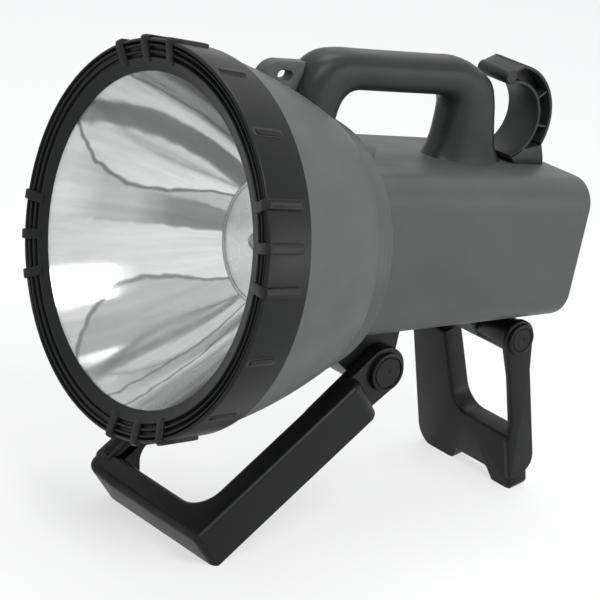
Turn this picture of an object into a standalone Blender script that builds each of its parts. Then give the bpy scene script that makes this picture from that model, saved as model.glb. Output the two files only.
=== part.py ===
"""Handheld searchlight on two fold-out stands.

The lamp is drawn with its beam along -Y, its rear towards +Y and its handle up. Everything hangs under
one empty, the stance, which tips the nose up until both stands' feet lie on the floor at z = 0.
Lengths are in metres.
"""

import math

import bmesh
import bpy
from mathutils import Matrix, Vector

GAP = 0.0003
OVERRUN = 0.004
WELD = 0.00001
FLAT_ANGLE = 0.01

# Turned pieces of the head share one facet count, so that their facets lie parallel.
HEAD_STEPS = 48
ROUND_STEPS = 24
SMALL_STEPS = 16
BORE_STEPS = 12
TINY_STEPS = 8
WIRE_RESOLUTION = 1

# Head: ring, lens and reflector. The lens opening's front edge lies at y = 0.
RING_RADIUS = 0.1092
RING_FRONT = -0.0091
RING_REAR = 0.0287
RING_WALL = 0.0025
RING_EDGE = 0.0032
RING_STEP_DEPTHS = (-0.0068, -0.0040, 0.0)
RING_STEP_WIDTHS = (0.0090, 0.0055, 0.0022)
RING_LIP = 0.0028
RIB_WIDTH = 0.0070
RIB_HEIGHT = 0.0030
RIB_LENGTH = 0.0300
RIB_REACH = 0.0100
SHORT_RIB_WIDTH = 0.0042
SHORT_RIB_LENGTH = 0.0210
SHORT_RIB_SETBACK = 0.0040
RIB_TURN_DEG = 16.0
RIB_SPACING_DEG = 12.0
SHORT_RIB_ANGLES_DEG = (33.2, 56.8)
LENS_CLEARANCE = 0.0004
LENS_SEAT = 0.0080
LENS_THICKNESS = 0.0030
LENS_DOME = 0.0020
LENS_SHARES = (0.0, 0.25, 0.5, 0.75)
GASKET_WIDTH = 0.0050
GASKET_THICKNESS = 0.0020
REFLECTOR_WALL = 0.0015
REFLECTOR_BACK_SHARE = 1.25
REFLECTOR_NECK_RADIUS = 0.0380
REFLECTOR_NECK_SETBACK = 0.0183
REFLECTOR_POINTS = 9
REFLECTOR_CROWDING = 1.6
HEAD_WALL = 0.0030
HEAD_LEDGE = 0.0060
CONE_END_RADIUS = 0.0800
CONE_END = 0.1040
CONE_WALL_SHARE = 1.1
COLLAR_INSETS = (0.0015, 0.0035, 0.0055)
COLLAR_STEP = 0.0050
COLLAR_SLOPE_SHARE = 0.2
COLLAR_CREASE = 0.0001
HEAD_REAR_HOLE_RADIUS = 0.0260

# Derived stations along the head, from the ring inwards and from its front to its rear.
RING_INNER_RADIUS = RING_RADIUS - RING_WALL
HEAD_RIM_RADIUS = RING_INNER_RADIUS - GAP
LENS_RADIUS = HEAD_RIM_RADIUS - HEAD_WALL - LENS_CLEARANCE
LENS_OPENING_RADIUS = LENS_RADIUS - LENS_SEAT
RING_STEP_RADII = [LENS_OPENING_RADIUS + width for width in RING_STEP_WIDTHS]
LENS_FRONT = RING_LIP + GAP
LENS_REAR = LENS_FRONT + LENS_THICKNESS
GASKET_FRONT = LENS_REAR + GAP
GASKET_REAR = GASKET_FRONT + GASKET_THICKNESS
MOUTH = GASKET_REAR + GAP
MOUTH_REAR = MOUTH + REFLECTOR_WALL
LEDGE_FRONT = MOUTH_REAR + GAP
NECK = CONE_END - REFLECTOR_NECK_SETBACK
REFLECTOR_DEPTH = NECK - MOUTH
FOUR_FOCAL = (LENS_OPENING_RADIUS ** 2 - REFLECTOR_NECK_RADIUS ** 2) / REFLECTOR_DEPTH
COLLAR_RADII = [CONE_END_RADIUS - inset for inset in COLLAR_INSETS]
HEAD_REAR = CONE_END + COLLAR_STEP * len(COLLAR_RADII)
BODY_FRONT = HEAD_REAR + GAP

# Bulb in the neck of the reflector.
BULB_DISC_THICKNESS = 0.0020
BULB_DISC_LIP = 0.0030
BULB_RADIUS = 0.0055
BULB_LENGTH = 0.0240
BULB_BASE_RADIUS = 0.0090
BULB_BASE_LENGTH = 0.0080
HOLDER_RADIUS = 0.0165
HOLDER_LENGTH = 0.0120
CLIP_WIRE = 0.0010
CONNECTOR_SIZE = (0.0180, 0.0120, 0.0140)
CONNECTOR_EDGE = 0.0012

# Body: a box that narrows towards the rear, with its bottom rising.
BODY_FRONT_HALF_WIDTH = 0.0585
BODY_REAR_HALF_WIDTH = 0.0533
BODY_TOP = 0.0533
BODY_FRONT_BOTTOM = -0.0445
BODY_REAR_BOTTOM = -0.0312
BODY_LENGTH = 0.1717
BODY_REAR = BODY_FRONT + BODY_LENGTH
BODY_CORNER = 0.0140
BODY_EDGE = 0.0035
BODY_WALL = 0.0028
COVER_INSET = 0.0020
COVER_THICKNESS = 0.0030
SEAL_THICKNESS = 0.0015
SEAL_WIDTH = 0.0040
BODY_LEDGE = 0.0050
COVER_SCREW_RADIUS = 0.0022
COVER_SCREW_HEAD_RADIUS = 0.0040
COVER_SCREW_LENGTH = 0.0120
COVER_SCREW_INSET = 0.0115
COVER_BOSS_RADIUS = 0.0048
WIRE_HOLE_RADIUS = 0.0200
TOP_SCREW_RADIUS = 0.0020
TOP_SCREW_HEAD_RADIUS = 0.0038
TOP_SCREW_LENGTH = 0.0130
SCREW_HEAD_SHARE = 0.55
SCREW_CROWN_SHARE = 0.8

# Handle, in the middle plane: its front leg follows the cone's end and its foot the body's rear.
HANDLE_RISE = 0.0370
HANDLE_TOP = CONE_END_RADIUS + HANDLE_RISE
HANDLE_BAR = 0.0230
HANDLE_HALF_WIDTH = 0.0140
HANDLE_EDGE = 0.0080
HANDLE_CONE_LAP = 0.0210
HANDLE_FRONT = CONE_END - HANDLE_CONE_LAP
HANDLE_LEG = 0.0350
HANDLE_LEAN = 0.0030
HANDLE_REAR_SETBACK = 0.0460
HANDLE_REAR = BODY_REAR - HANDLE_REAR_SETBACK
HANDLE_SHOULDER_SETBACK = 0.0400
HANDLE_REAR_LEG = 0.0420
HANDLE_WINDOW_FRONT = HANDLE_FRONT + HANDLE_LEG
HANDLE_WINDOW_REAR = HANDLE_REAR - HANDLE_REAR_LEG
HANDLE_REAR_SHARES = (0.4, 0.55)
HANDLE_FOOT_SHARE = 0.30
HANDLE_FRONT_BEND = 0.0200
HANDLE_REAR_BEND = 0.0300
HANDLE_WINDOW_BEND = 0.0100
HANDLE_FOOT_BEND = 0.0160
HANDLE_FOOT_LEAD = 0.0050
HANDLE_FOOT_LAG = 0.0080
HANDLE_FOOT_FLARE = 0.0060
HANDLE_FOOT_FRONT = HANDLE_WINDOW_REAR - HANDLE_FOOT_LEAD
HANDLE_FOOT_REAR = HANDLE_REAR + HANDLE_FOOT_LAG
HANDLE_SCREW_INSET = 0.0160

# Strap eye in front of the handle; its height is taken at its front, over the cone.
EYE_LENGTH = 0.0250
EYE_FRONT = HANDLE_FRONT - EYE_LENGTH
EYE_REAR = HANDLE_FRONT - GAP
EYE_SLOPE = 0.0060
EYE_HEIGHT = 0.0138725
EYE_BEND = 0.0080
EYE_HALF_WIDTH = 0.0040
EYE_SLOT_INSET = 0.0080
EYE_SLOT_LENGTH = 0.0120
EYE_SLOT_DROP = 0.0115
EYE_SLOT_HEIGHT = 0.0060
EYE_SLOT_BEND = 0.0025

# Hanging hook behind the handle; angles run from +Y towards +Z.
HOOK_SETBACK = 0.0435
HOOK_CENTRE_Y = BODY_REAR - HOOK_SETBACK
HOOK_CENTRE_Z = 0.0825
HOOK_INNER_RADIUS = 0.0230
HOOK_OUTER_RADIUS = 0.0350
HOOK_HALF_WIDTH = 0.0137
HOOK_WALL = 0.0022
HOOK_WEB = 0.0060
HOOK_TIP_RADIUS = 0.0045
HOOK_TIP_DEG = 104.0
HOOK_START_DEG = -73.0
HOOK_NECK_DEG = -24.0
HOOK_LAP_DEG = 18.0
HOOK_ROLL_DEG = (200.0, -20.0)
HOOK_FOOT_LENGTH = 0.0234
HOOK_FOOT_INSET = 0.0060
HOOK_FOOT_REAR = BODY_REAR - HOOK_FOOT_INSET
HOOK_FOOT_FRONT = HOOK_FOOT_REAR - HOOK_FOOT_LENGTH
HOOK_RIB_ANGLES_DEG = (-5.0, 36.0)
HOOK_RIB_HALF_DEG = 2.2
HOOK_POCKET_START_DEG = -52.0
HOOK_POCKET_END_DEG = 16.0
HOOK_SCREW_INSET = 0.0110
HOOK_SCREW_DEPTH = 0.0060
HOOK_SCREW_SHORTFALL = 0.0020

# Front stand: pivot, and direction of its arms in the Y-Z plane, from +Y towards +Z. The near arm is
# a broad grip; the far one, at -X, is a slim bar that spreads outwards and stands a little forward.
FRONT_PIVOT_SETBACK = 0.0437
FRONT_PIVOT_DROP = 0.0220
FRONT_PIVOT = (BODY_FRONT + FRONT_PIVOT_SETBACK, BODY_FRONT_BOTTOM - FRONT_PIVOT_DROP)
FRONT_STAND_DEG = 222.5
FRONT_STAND_HALF_WIDTH = 0.0520
FRONT_ARM_INNER = 0.0340
FRONT_STAND_LENGTH = 0.1580
FRONT_STAND_DEPTH = 0.0290
FRONT_FAR_ARM = 0.0130
FRONT_FAR_ARM_DEPTH = 0.0120
FRONT_FAR_ARM_LEAD = 0.0050
FRONT_FAR_ARM_SPREAD = 0.0060
FRONT_FAR_ARM_KNEE = 0.0600
FRONT_FAR_ARM_EDGE = 0.0030
FRONT_STAND_CORNER = 0.0075
FRONT_STAND_BEND = 0.0160
FRONT_STAND_EDGE = 0.0060
FRONT_ARM_START = 0.0190
FRONT_EYE_RADIUS = 0.0148
FRONT_TONGUE_SHARES = (2.0, 0.9)
FRONT_CAP_RADIUS = 0.0122
FRONT_CAP_THICKNESS = 0.0030
FRONT_FLAT_DEPTH = 0.0037
EYE_PLATE = 0.0090
FRONT_BARREL_RADIUS = 0.0140
FRONT_BARREL_START_DEG = 240.0
FRONT_BRACKET_SETBACK = 0.0020
FRONT_BRACKET_DROP = 0.0120
PIN_RADIUS = 0.0030

# Rear stand: pivot and direction as above.
REAR_PIVOT_SETBACK = 0.0190
REAR_PIVOT_DROP = 0.0178
REAR_PIVOT = (BODY_REAR - REAR_PIVOT_SETBACK, BODY_REAR_BOTTOM - REAR_PIVOT_DROP)
REAR_STAND_DEG = 290.0
REAR_STAND_HALF_WIDTH = 0.0410
REAR_ARM_INNER = 0.0360
REAR_STAND_LENGTH = 0.0970
REAR_CROSSBAR = 0.0310
REAR_TOE_LENGTH = 0.0095
REAR_TOE_ROUND = 0.0055
REAR_TOE_WIDTH = 0.0180
REAR_NEAR_ARM_FRONT = 0.0090
REAR_NEAR_ARM_DEPTH = 0.0170
REAR_NEAR_ARM_ROUND = 0.0120
REAR_WIDE_ARM_OUTER = 0.0490
REAR_WIDE_ARM = 0.0320
REAR_STAND_BEND = 0.0150
REAR_STAND_DEPTH = 0.0150
REAR_STAND_FRONT = 0.0125
REAR_ARM_CLEARANCE = 0.0025
REAR_EYE_RADIUS = 0.0118
REAR_EYE_START_DEG = 70.0
REAR_CAP_RADIUS = 0.0100
REAR_CAP_THICKNESS = 0.0020
REAR_BARREL_RADIUS = 0.0105
REAR_BARREL_START_DEG = 230.0
REAR_BRACKET_REACH = 0.0300
REAR_LUG_END = 0.0110
REAR_FLAT_DEPTH = 0.0020

# Rear cover fittings: rocker switch, charging socket with its flap, charge light.
SWITCH_Z = 0.0200
SWITCH_FLANGE = (0.0190, 0.0270, 0.0015)
SWITCH_BODY = (0.0156, 0.0236, 0.0150)
ROCKER_WIDTH = 0.0124
ROCKER_RADIUS = 0.0102
ROCKER_HALF_DEG = 20.0
ROCKER_DIP = 0.0015
ROCKER_TILT_DEG = 8.0
ROCKER_PIVOT_OUT = 0.0012
ROCKER_ROOM = 0.0065
SOCKET_X = -0.0260
SOCKET_Z = -0.0100
SOCKET_RADIUS = 0.0055
SOCKET_LENGTH = 0.0120
SOCKET_FLANGE_RADIUS = 0.0075
SOCKET_FLANGE_THICKNESS = 0.0012
SOCKET_BORE = 0.0030
SOCKET_BORE_DEPTH = 0.0090
SOCKET_PIN_RADIUS = 0.0010
FLAP_RADIUS = 0.0080
FLAP_THICKNESS = 0.0018
FLAP_HINGE_RISE = 0.0108
FLAP_TAB_WIDTH = 0.0070
FLAP_TAB_SHARE = 0.8
FLAP_BARREL_RADIUS = 0.0013
FLAP_PLUG_RADIUS = 0.0022
FLAP_PLUG_LENGTH = 0.0020
LIGHT_X = 0.0240
LIGHT_RADIUS = 0.0025
LIGHT_LENGTH = 0.0090
LIGHT_STAND_OUT = 0.0016
LIGHT_DOME_SHARE = 0.4

# Battery, its tray and bracket, and the circuit board above it, all between the body's ends.
BATTERY_WIDTH = 0.0700
BATTERY_HEIGHT = 0.0470
BATTERY_FRONT_ROOM = 0.0398
BATTERY_REAR_ROOM = 0.0080
TRAY_THICKNESS = 0.0030
TRAY_WIDTH = 0.0600
TERMINAL_SIZE = (0.0063, 0.0010, 0.0060)
TERMINAL_SPACING = 0.0440
TERMINAL_SETBACK = 0.0070
PAD_LENGTH = 0.0300
PAD_THICKNESS = 0.0050
BRACKET_LENGTH = 0.0260
BRACKET_THICKNESS = 0.0020
BRACKET_LEAD = 0.0090
BOARD_WIDTH = 0.0600
BOARD_THICKNESS = 0.0016
BOARD_SETBACK = 0.0300
BOARD_REAR_ROOM = 0.0020
RELAY_SIZE = (0.0190, 0.0155, 0.0153)
RELAY_EDGE = 0.0006
FUSE_RADIUS = 0.0032
FUSE_LENGTH = 0.0220
WIRE_RADIUS = 0.0011
BULB_LEAD_SPREAD = 0.0080
SWITCH_LEAD_SPREAD = 0.0080
LEAD_LANDING = 0.0100
LEAD_ARCH = 0.0040


def clear_scene():
    """Start from an empty scene."""
    for item in list(bpy.data.objects):
        bpy.data.objects.remove(item)


def new_collection(name):
    """A collection of this name, linked to the scene."""
    group = bpy.data.collections.new(name)
    bpy.context.scene.collection.children.link(group)
    return group


def finish(name, colour, roughness, metallic=0.0, transmission=0.0):
    """A plain surface finish."""
    surface = bpy.data.materials.new(name)
    surface.use_nodes = True
    shader = surface.node_tree.nodes["Principled BSDF"]
    shader.inputs["Base Color"].default_value = (*colour, 1.0)
    shader.inputs["Roughness"].default_value = roughness
    shader.inputs["Metallic"].default_value = metallic
    shader.inputs["Transmission Weight"].default_value = transmission
    return surface


clear_scene()
LAMP = new_collection("handheld_searchlight")
CUTTERS = new_collection("cutters")

BODY_GREY = finish("body_grey", (0.105, 0.115, 0.112), 0.55)
RING_BLACK = finish("ring_black", (0.020, 0.020, 0.021), 0.45)
GRIP_CHARCOAL = finish("grip_charcoal", (0.050, 0.052, 0.051), 0.60)
STAND_BLACK = finish("stand_black", (0.018, 0.018, 0.019), 0.32)
MIRROR_BRIGHT = finish("mirror_bright", (0.90, 0.91, 0.92), 0.06, 1.0)
LENS_CLEAR = finish("lens_clear", (0.95, 0.97, 0.97), 0.03, 0.0, 1.0)
SEAL_RUBBER = finish("seal_rubber", (0.025, 0.025, 0.025), 0.85)
STEEL = finish("steel", (0.60, 0.60, 0.58), 0.30, 1.0)
BRASS = finish("brass", (0.72, 0.55, 0.25), 0.30, 1.0)
CERAMIC = finish("ceramic", (0.75, 0.73, 0.68), 0.60)
BATTERY_PLASTIC = finish("battery_plastic", (0.10, 0.11, 0.13), 0.50)
BOARD_GREEN = finish("board_green", (0.03, 0.16, 0.07), 0.45)
FOAM = finish("foam", (0.09, 0.09, 0.09), 0.95)
WIRE_RED = finish("wire_red", (0.45, 0.02, 0.02), 0.50)
WIRE_BLACK = finish("wire_black", (0.02, 0.02, 0.02), 0.50)
SWITCH_RED = finish("switch_red", (0.40, 0.02, 0.02), 0.35)
LIGHT_GREEN = finish("light_green", (0.08, 0.45, 0.12), 0.20)

STANCE = bpy.data.objects.new("stance", None)
LAMP.objects.link(STANCE)


def add_piece(name, mesh, surface, parent=None):
    """Put a finished mesh into the lamp as the piece of this name."""
    mesh.name = name
    mesh.materials.clear()
    mesh.materials.append(surface)
    piece = bpy.data.objects.new(name, mesh)
    piece.parent = parent or STANCE
    LAMP.objects.link(piece)
    return piece


def add_cutter(name, mesh, parent=None):
    """Put a mesh into the cutters, out of sight."""
    mesh.name = name
    piece = bpy.data.objects.new(name, mesh)
    piece.parent = parent or STANCE
    piece.hide_render = True
    piece.display_type = "WIRE"
    CUTTERS.objects.link(piece)
    return piece


def combine(piece, other, operation):
    """Give a piece a Boolean modifier with another piece."""
    modifier = piece.modifiers.new(operation.lower() + "_" + other.name, "BOOLEAN")
    modifier.operation = operation
    modifier.object = other
    modifier.solver = "EXACT"
    return piece


def cut(piece, other):
    """Take a cutter's shape out of a piece."""
    return combine(piece, other, "DIFFERENCE")


def join(piece, other):
    """Weld a cutter's shape onto a piece."""
    return combine(piece, other, "UNION")


def round_edges(piece, width, segments=2, angle_deg=40.0):
    """Round a piece's sharp edges."""
    bevel = piece.modifiers.new("rounded", "BEVEL")
    bevel.width = width
    bevel.segments = segments
    bevel.limit_method = "ANGLE"
    bevel.angle_limit = math.radians(angle_deg)
    return piece


def mesh_from(shape):
    """Turn a bmesh into a mesh with smooth round faces and sharp edges kept."""
    mesh = bpy.data.meshes.new("shape")
    shape.to_mesh(mesh)
    shape.free()
    mesh.shade_smooth()
    mesh.set_sharp_from_angle(angle=math.radians(35.0))
    return mesh


def box_mesh(low, high):
    """A box between two corners."""
    shape = bmesh.new()
    bmesh.ops.create_cube(shape, size=1.0)
    low, high = Vector(low), Vector(high)
    middle, size = (low + high) / 2, high - low
    for vertex in shape.verts:
        vertex.co = Vector(middle[k] + vertex.co[k] * size[k] for k in range(3))
    return mesh_from(shape)


def bar_mesh(start, end, radius, end_radius=None, steps=ROUND_STEPS):
    """A round bar, or a cone, between two points."""
    start, end = Vector(start), Vector(end)
    along = end - start
    turn = along.to_track_quat("Z", "Y").to_matrix().to_4x4()
    shape = bmesh.new()
    bmesh.ops.create_cone(
        shape, cap_ends=True, segments=steps, radius1=radius,
        radius2=radius if end_radius is None else end_radius, depth=along.length,
        matrix=Matrix.Translation((start + end) / 2) @ turn)
    return mesh_from(shape)


def turned_mesh(profile, closed=True, steps=HEAD_STEPS):
    """Spin a profile of (radius, y) points about the beam axis.

    The profile runs rearwards down its outer side and comes back inside.
    """
    line = bpy.data.meshes.new("profile")
    points = [(radius, 0.0, -y) for radius, y in profile]
    edges = [(k, k + 1) for k in range(len(points) - 1)]
    if closed:
        edges.append((len(points) - 1, 0))
    line.from_pydata(points, edges, [])
    guide = bpy.data.objects.new("profile", line)
    LAMP.objects.link(guide)
    screw = guide.modifiers.new("turn", "SCREW")
    screw.axis = "Z"
    screw.steps = steps
    screw.render_steps = steps
    screw.use_merge_vertices = True
    screw.merge_threshold = WELD
    return taken_mesh(guide, Matrix.Rotation(math.radians(90.0), 4, "X"))


def taken_mesh(guide, place=None):
    """The evaluated mesh of a guide object, welded and placed; the guide is removed."""
    bpy.context.view_layer.update()
    mesh = bpy.data.meshes.new_from_object(guide.evaluated_get(bpy.context.evaluated_depsgraph_get()))
    bpy.data.objects.remove(guide)
    shape = bmesh.new()
    shape.from_mesh(mesh)
    bmesh.ops.remove_doubles(shape, verts=shape.verts, dist=WELD)
    bmesh.ops.dissolve_limit(shape, angle_limit=FLAT_ANGLE, verts=shape.verts, edges=shape.edges)
    bmesh.ops.transform(shape, matrix=place or Matrix(), verts=shape.verts)
    bpy.data.meshes.remove(mesh)
    return mesh_from(shape)


def outline_mesh(outlines, low, high, plane="YZ"):
    """Extrude closed outlines, the later ones holes, between two positions along the third axis."""
    curve = bpy.data.curves.new("outline", "CURVE")
    curve.dimensions = "2D"
    curve.fill_mode = "BOTH"
    curve.extrude = (high - low) / 2
    for outline in outlines:
        spline = curve.splines.new("POLY")
        spline.points.add(len(outline) - 1)
        for point, (u, v) in zip(spline.points, outline):
            point.co = (u, v, 0.0, 1.0)
        spline.use_cyclic_u = True
    guide = bpy.data.objects.new("outline", curve)
    LAMP.objects.link(guide)
    middle = (low + high) / 2
    if plane == "YZ":
        place = Matrix(((0, 0, 1, middle), (1, 0, 0, 0), (0, 1, 0, 0), (0, 0, 0, 1)))
    elif plane == "XZ":
        place = Matrix(((1, 0, 0, 0), (0, 0, -1, middle), (0, 1, 0, 0), (0, 0, 0, 1)))
    else:
        place = Matrix(((1, 0, 0, 0), (0, 1, 0, 0), (0, 0, 1, middle), (0, 0, 0, 1)))
    return taken_mesh(guide, place)


def arc(centre, radius, start_deg, end_deg, steps):
    """Points along an arc, both ends included."""
    points = []
    for k in range(steps + 1):
        angle = math.radians(start_deg + (end_deg - start_deg) * k / steps)
        points.append((centre[0] + radius * math.cos(angle), centre[1] + radius * math.sin(angle)))
    return points


def circle(centre, radius, steps=SMALL_STEPS):
    """Points round a whole circle."""
    return arc(centre, radius, 0.0, 360.0, steps)[:-1]


def along(pivot, direction_deg, distance, offset=0.0):
    """A point at a distance from a pivot along a direction in the Y-Z plane, and offset to its left."""
    angle = math.radians(direction_deg)
    return (pivot[0] + distance * math.cos(angle) - offset * math.sin(angle),
            pivot[1] + distance * math.sin(angle) + offset * math.cos(angle))


def rounded_outline(corners, steps=4):
    """A closed outline through corners given as (u, v, fillet radius)."""
    points = []
    count = len(corners)
    for k in range(count):
        here = Vector(corners[k][:2])
        back = (Vector(corners[k - 1][:2]) - here).normalized()
        ahead = (Vector(corners[(k + 1) % count][:2]) - here).normalized()
        radius = corners[k][2]
        if radius == 0:
            points.append(tuple(here))
            continue
        half = back.angle(ahead) / 2
        centre = here + (back + ahead).normalized() * radius / math.sin(half)
        first = (here + back * radius / math.tan(half)) - centre
        last = (here + ahead * radius / math.tan(half)) - centre
        sweep = first.angle_signed(last)
        for j in range(steps + 1):
            points.append(tuple(centre + Matrix.Rotation(-sweep * j / steps, 2) @ first))
    return points


def tube_mesh(route, radius, resolution=WIRE_RESOLUTION):
    """A round wire along a route."""
    curve = bpy.data.curves.new("wire", "CURVE")
    curve.dimensions = "3D"
    curve.bevel_depth = radius
    curve.bevel_resolution = resolution
    curve.use_fill_caps = True
    spline = curve.splines.new("POLY")
    spline.points.add(len(route) - 1)
    for point, place in zip(spline.points, route):
        point.co = (*place, 1.0)
    guide = bpy.data.objects.new("wire", curve)
    LAMP.objects.link(guide)
    return taken_mesh(guide)


def smooth_route(points, per_span=5):
    """A smooth curve through hand-picked points, for a wire."""
    route = []
    vectors = [Vector(point) for point in points]
    vectors = [vectors[0] * 2 - vectors[1]] + vectors + [vectors[-1] * 2 - vectors[-2]]
    for k in range(1, len(vectors) - 2):
        before, start, end, after = vectors[k - 1:k + 3]
        for j in range(per_span):
            t = j / per_span
            route.append(0.5 * (2 * start + (end - before) * t
                                + (2 * before - 5 * start + 4 * end - after) * t * t
                                + (3 * start - before - 3 * end + after) * t ** 3))
    route.append(vectors[-2])
    return route


def tapered_box_mesh(front, rear, y_front, y_rear, corner, edge=0.0, steps=5):
    """A box with unlike ends, each (half width, bottom, top), and rounded long edges."""
    shape = bmesh.new()
    bmesh.ops.create_cube(shape, size=1.0)
    for vertex in shape.verts:
        section = rear if vertex.co.y > 0 else front
        x = math.copysign(section[0], vertex.co.x)
        z = section[2] if vertex.co.z > 0 else section[1]
        vertex.co = (x, y_rear if vertex.co.y > 0 else y_front, z)
    long_edges = [item for item in shape.edges
                  if abs(item.verts[0].co.y - item.verts[1].co.y) > abs(y_rear - y_front) / 2]
    bmesh.ops.bevel(shape, geom=long_edges, offset=corner, offset_type="OFFSET", segments=steps,
                    profile=0.5, affect="EDGES", material=-1, clamp_overlap=True)
    if edge:
        rear_edges = [item for item in shape.edges
                      if all(abs(vertex.co.y - y_rear) < WELD for vertex in item.verts)]
        bmesh.ops.bevel(shape, geom=rear_edges, offset=edge, offset_type="OFFSET", segments=3,
                        profile=0.5, affect="EDGES", material=-1, clamp_overlap=True)
    return mesh_from(shape)


def cone_radius(y):
    """Outer radius of the head's cone at a station."""
    share = (y - RING_REAR) / (CONE_END - RING_REAR)
    return HEAD_RIM_RADIUS + (CONE_END_RADIUS - HEAD_RIM_RADIUS) * share


def head_outer_profile(grow=0.0):
    """Outer side of the head from its front rim to the end of its collar."""
    points = [(HEAD_RIM_RADIUS + grow, LEDGE_FRONT - GAP), (HEAD_RIM_RADIUS + grow, RING_REAR),
              (CONE_END_RADIUS + grow, CONE_END)]
    for k, radius in enumerate(COLLAR_RADII):
        start = CONE_END + k * COLLAR_STEP
        slope = COLLAR_STEP * COLLAR_SLOPE_SHARE if k else 0.0
        points.append((radius + grow, start + slope + COLLAR_CREASE))
        points.append((radius + grow, start + COLLAR_STEP))
    return points


def head_cutter(name):
    """The head's outer shape grown by the assembly gap, to seat pieces on the cone."""
    outer = head_outer_profile(GAP)
    profile = [(0.0, outer[0][1])] + outer + [(0.0, outer[-1][1])]
    return add_cutter(name, turned_mesh(profile, closed=False))


def make_ring():
    """The black screw-on ring with its ribs."""
    outer = [(RING_STEP_RADII[0], RING_FRONT), (RING_RADIUS - RING_EDGE, RING_FRONT),
             (RING_RADIUS, RING_FRONT + RING_EDGE), (RING_RADIUS, RING_REAR)]
    inner = [(RING_INNER_RADIUS, RING_REAR), (RING_INNER_RADIUS, RING_LIP),
             (LENS_OPENING_RADIUS, RING_LIP), (LENS_OPENING_RADIUS, RING_STEP_DEPTHS[2])]
    steps = [(RING_STEP_RADII[2], RING_STEP_DEPTHS[2]), (RING_STEP_RADII[2], RING_STEP_DEPTHS[1]),
             (RING_STEP_RADII[1], RING_STEP_DEPTHS[1]), (RING_STEP_RADII[1], RING_STEP_DEPTHS[0]),
             (RING_STEP_RADII[0], RING_STEP_DEPTHS[0])]
    ring = add_piece("bezel_ring", turned_mesh(outer + inner + steps), RING_BLACK)
    root = RING_RADIUS - RING_WALL / 2
    long_rib = rounded_outline([
        (RING_FRONT + RIB_LENGTH, root, 0),
        (RING_FRONT + RIB_LENGTH, RING_RADIUS + RIB_HEIGHT, RIB_HEIGHT / 2),
        (RING_FRONT - RIB_HEIGHT / 2, RING_RADIUS + RIB_HEIGHT, RIB_HEIGHT),
        (RING_FRONT - RIB_HEIGHT / 2, RING_RADIUS - RIB_REACH, RIB_HEIGHT / 2),
        (RING_STEP_DEPTHS[0] + RIB_HEIGHT / 2, RING_RADIUS - RIB_REACH, 0),
        (RING_STEP_DEPTHS[0] + RIB_HEIGHT / 2, root, 0)], steps=2)
    short_start = RING_FRONT + RING_EDGE + SHORT_RIB_SETBACK
    short_rib = rounded_outline([
        (short_start + SHORT_RIB_LENGTH, root, 0),
        (short_start + SHORT_RIB_LENGTH, RING_RADIUS + RIB_HEIGHT / 2, RIB_HEIGHT / 2),
        (short_start, RING_RADIUS + RIB_HEIGHT / 2, RIB_HEIGHT / 2), (short_start, root, 0)], steps=2)
    for quarter in range(4):
        start_deg = RIB_TURN_DEG + quarter * 90.0
        for k in (-1, 0, 1):
            add_rib(ring, long_rib, RIB_WIDTH, start_deg + k * RIB_SPACING_DEG)
        for angle in SHORT_RIB_ANGLES_DEG:
            add_rib(ring, short_rib, SHORT_RIB_WIDTH, start_deg + angle)
    return ring


def add_rib(ring, outline, width, angle_deg):
    """Weld one rib onto the ring at an angle about the beam axis, 0 at +X."""
    mesh = outline_mesh([outline], -width / 2, width / 2)
    mesh.transform(Matrix.Rotation(math.radians(90.0 - angle_deg), 4, "Y"))
    join(ring, add_cutter("rib_shape", mesh))


def make_lens():
    """The clear lens, slightly domed, and the rubber gasket behind it."""
    front = [(LENS_RADIUS * math.sin(share * math.pi / 2),
              LENS_FRONT - LENS_DOME * (1 - math.sin(share * math.pi / 2) ** 2))
             for share in LENS_SHARES]
    rim = [(LENS_OPENING_RADIUS, LENS_FRONT), (LENS_RADIUS, LENS_FRONT), (LENS_RADIUS, LENS_REAR),
           (LENS_OPENING_RADIUS, LENS_REAR)]
    back = [(radius, y + LENS_THICKNESS) for radius, y in reversed(front)]
    add_piece("lens", turned_mesh(front + rim + back, closed=False), LENS_CLEAR)
    add_piece("lens_gasket", turned_mesh([
        (LENS_RADIUS, GASKET_FRONT), (LENS_RADIUS, GASKET_REAR),
        (LENS_RADIUS - GASKET_WIDTH, GASKET_REAR), (LENS_RADIUS - GASKET_WIDTH, GASKET_FRONT)]), SEAL_RUBBER)


def bowl_radius(y):
    """Radius of the reflecting surface at a station."""
    return math.sqrt(REFLECTOR_NECK_RADIUS ** 2 + FOUR_FOCAL * (NECK - y))


def make_reflector():
    """The bright bowl, a paraboloid with a flat flange at its mouth."""
    stations = [MOUTH + REFLECTOR_DEPTH * (1 - (1 - k / REFLECTOR_POINTS) ** REFLECTOR_CROWDING)
                for k in range(REFLECTOR_POINTS + 1)]
    inner = [(bowl_radius(y), y) for y in stations]
    outer = [(bowl_radius(y) + REFLECTOR_WALL * REFLECTOR_BACK_SHARE, y) for y in stations[1:-1]]
    outer.append((REFLECTOR_NECK_RADIUS + REFLECTOR_WALL, NECK + BULB_DISC_LIP))
    flange = [(LENS_RADIUS, MOUTH), (LENS_RADIUS, MOUTH_REAR),
              (LENS_OPENING_RADIUS + REFLECTOR_WALL, MOUTH_REAR)]
    neck_end = [(REFLECTOR_NECK_RADIUS, NECK + BULB_DISC_LIP)]
    add_piece("reflector", turned_mesh(flange + outer + neck_end + inner[::-1]), MIRROR_BRIGHT)


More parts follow.
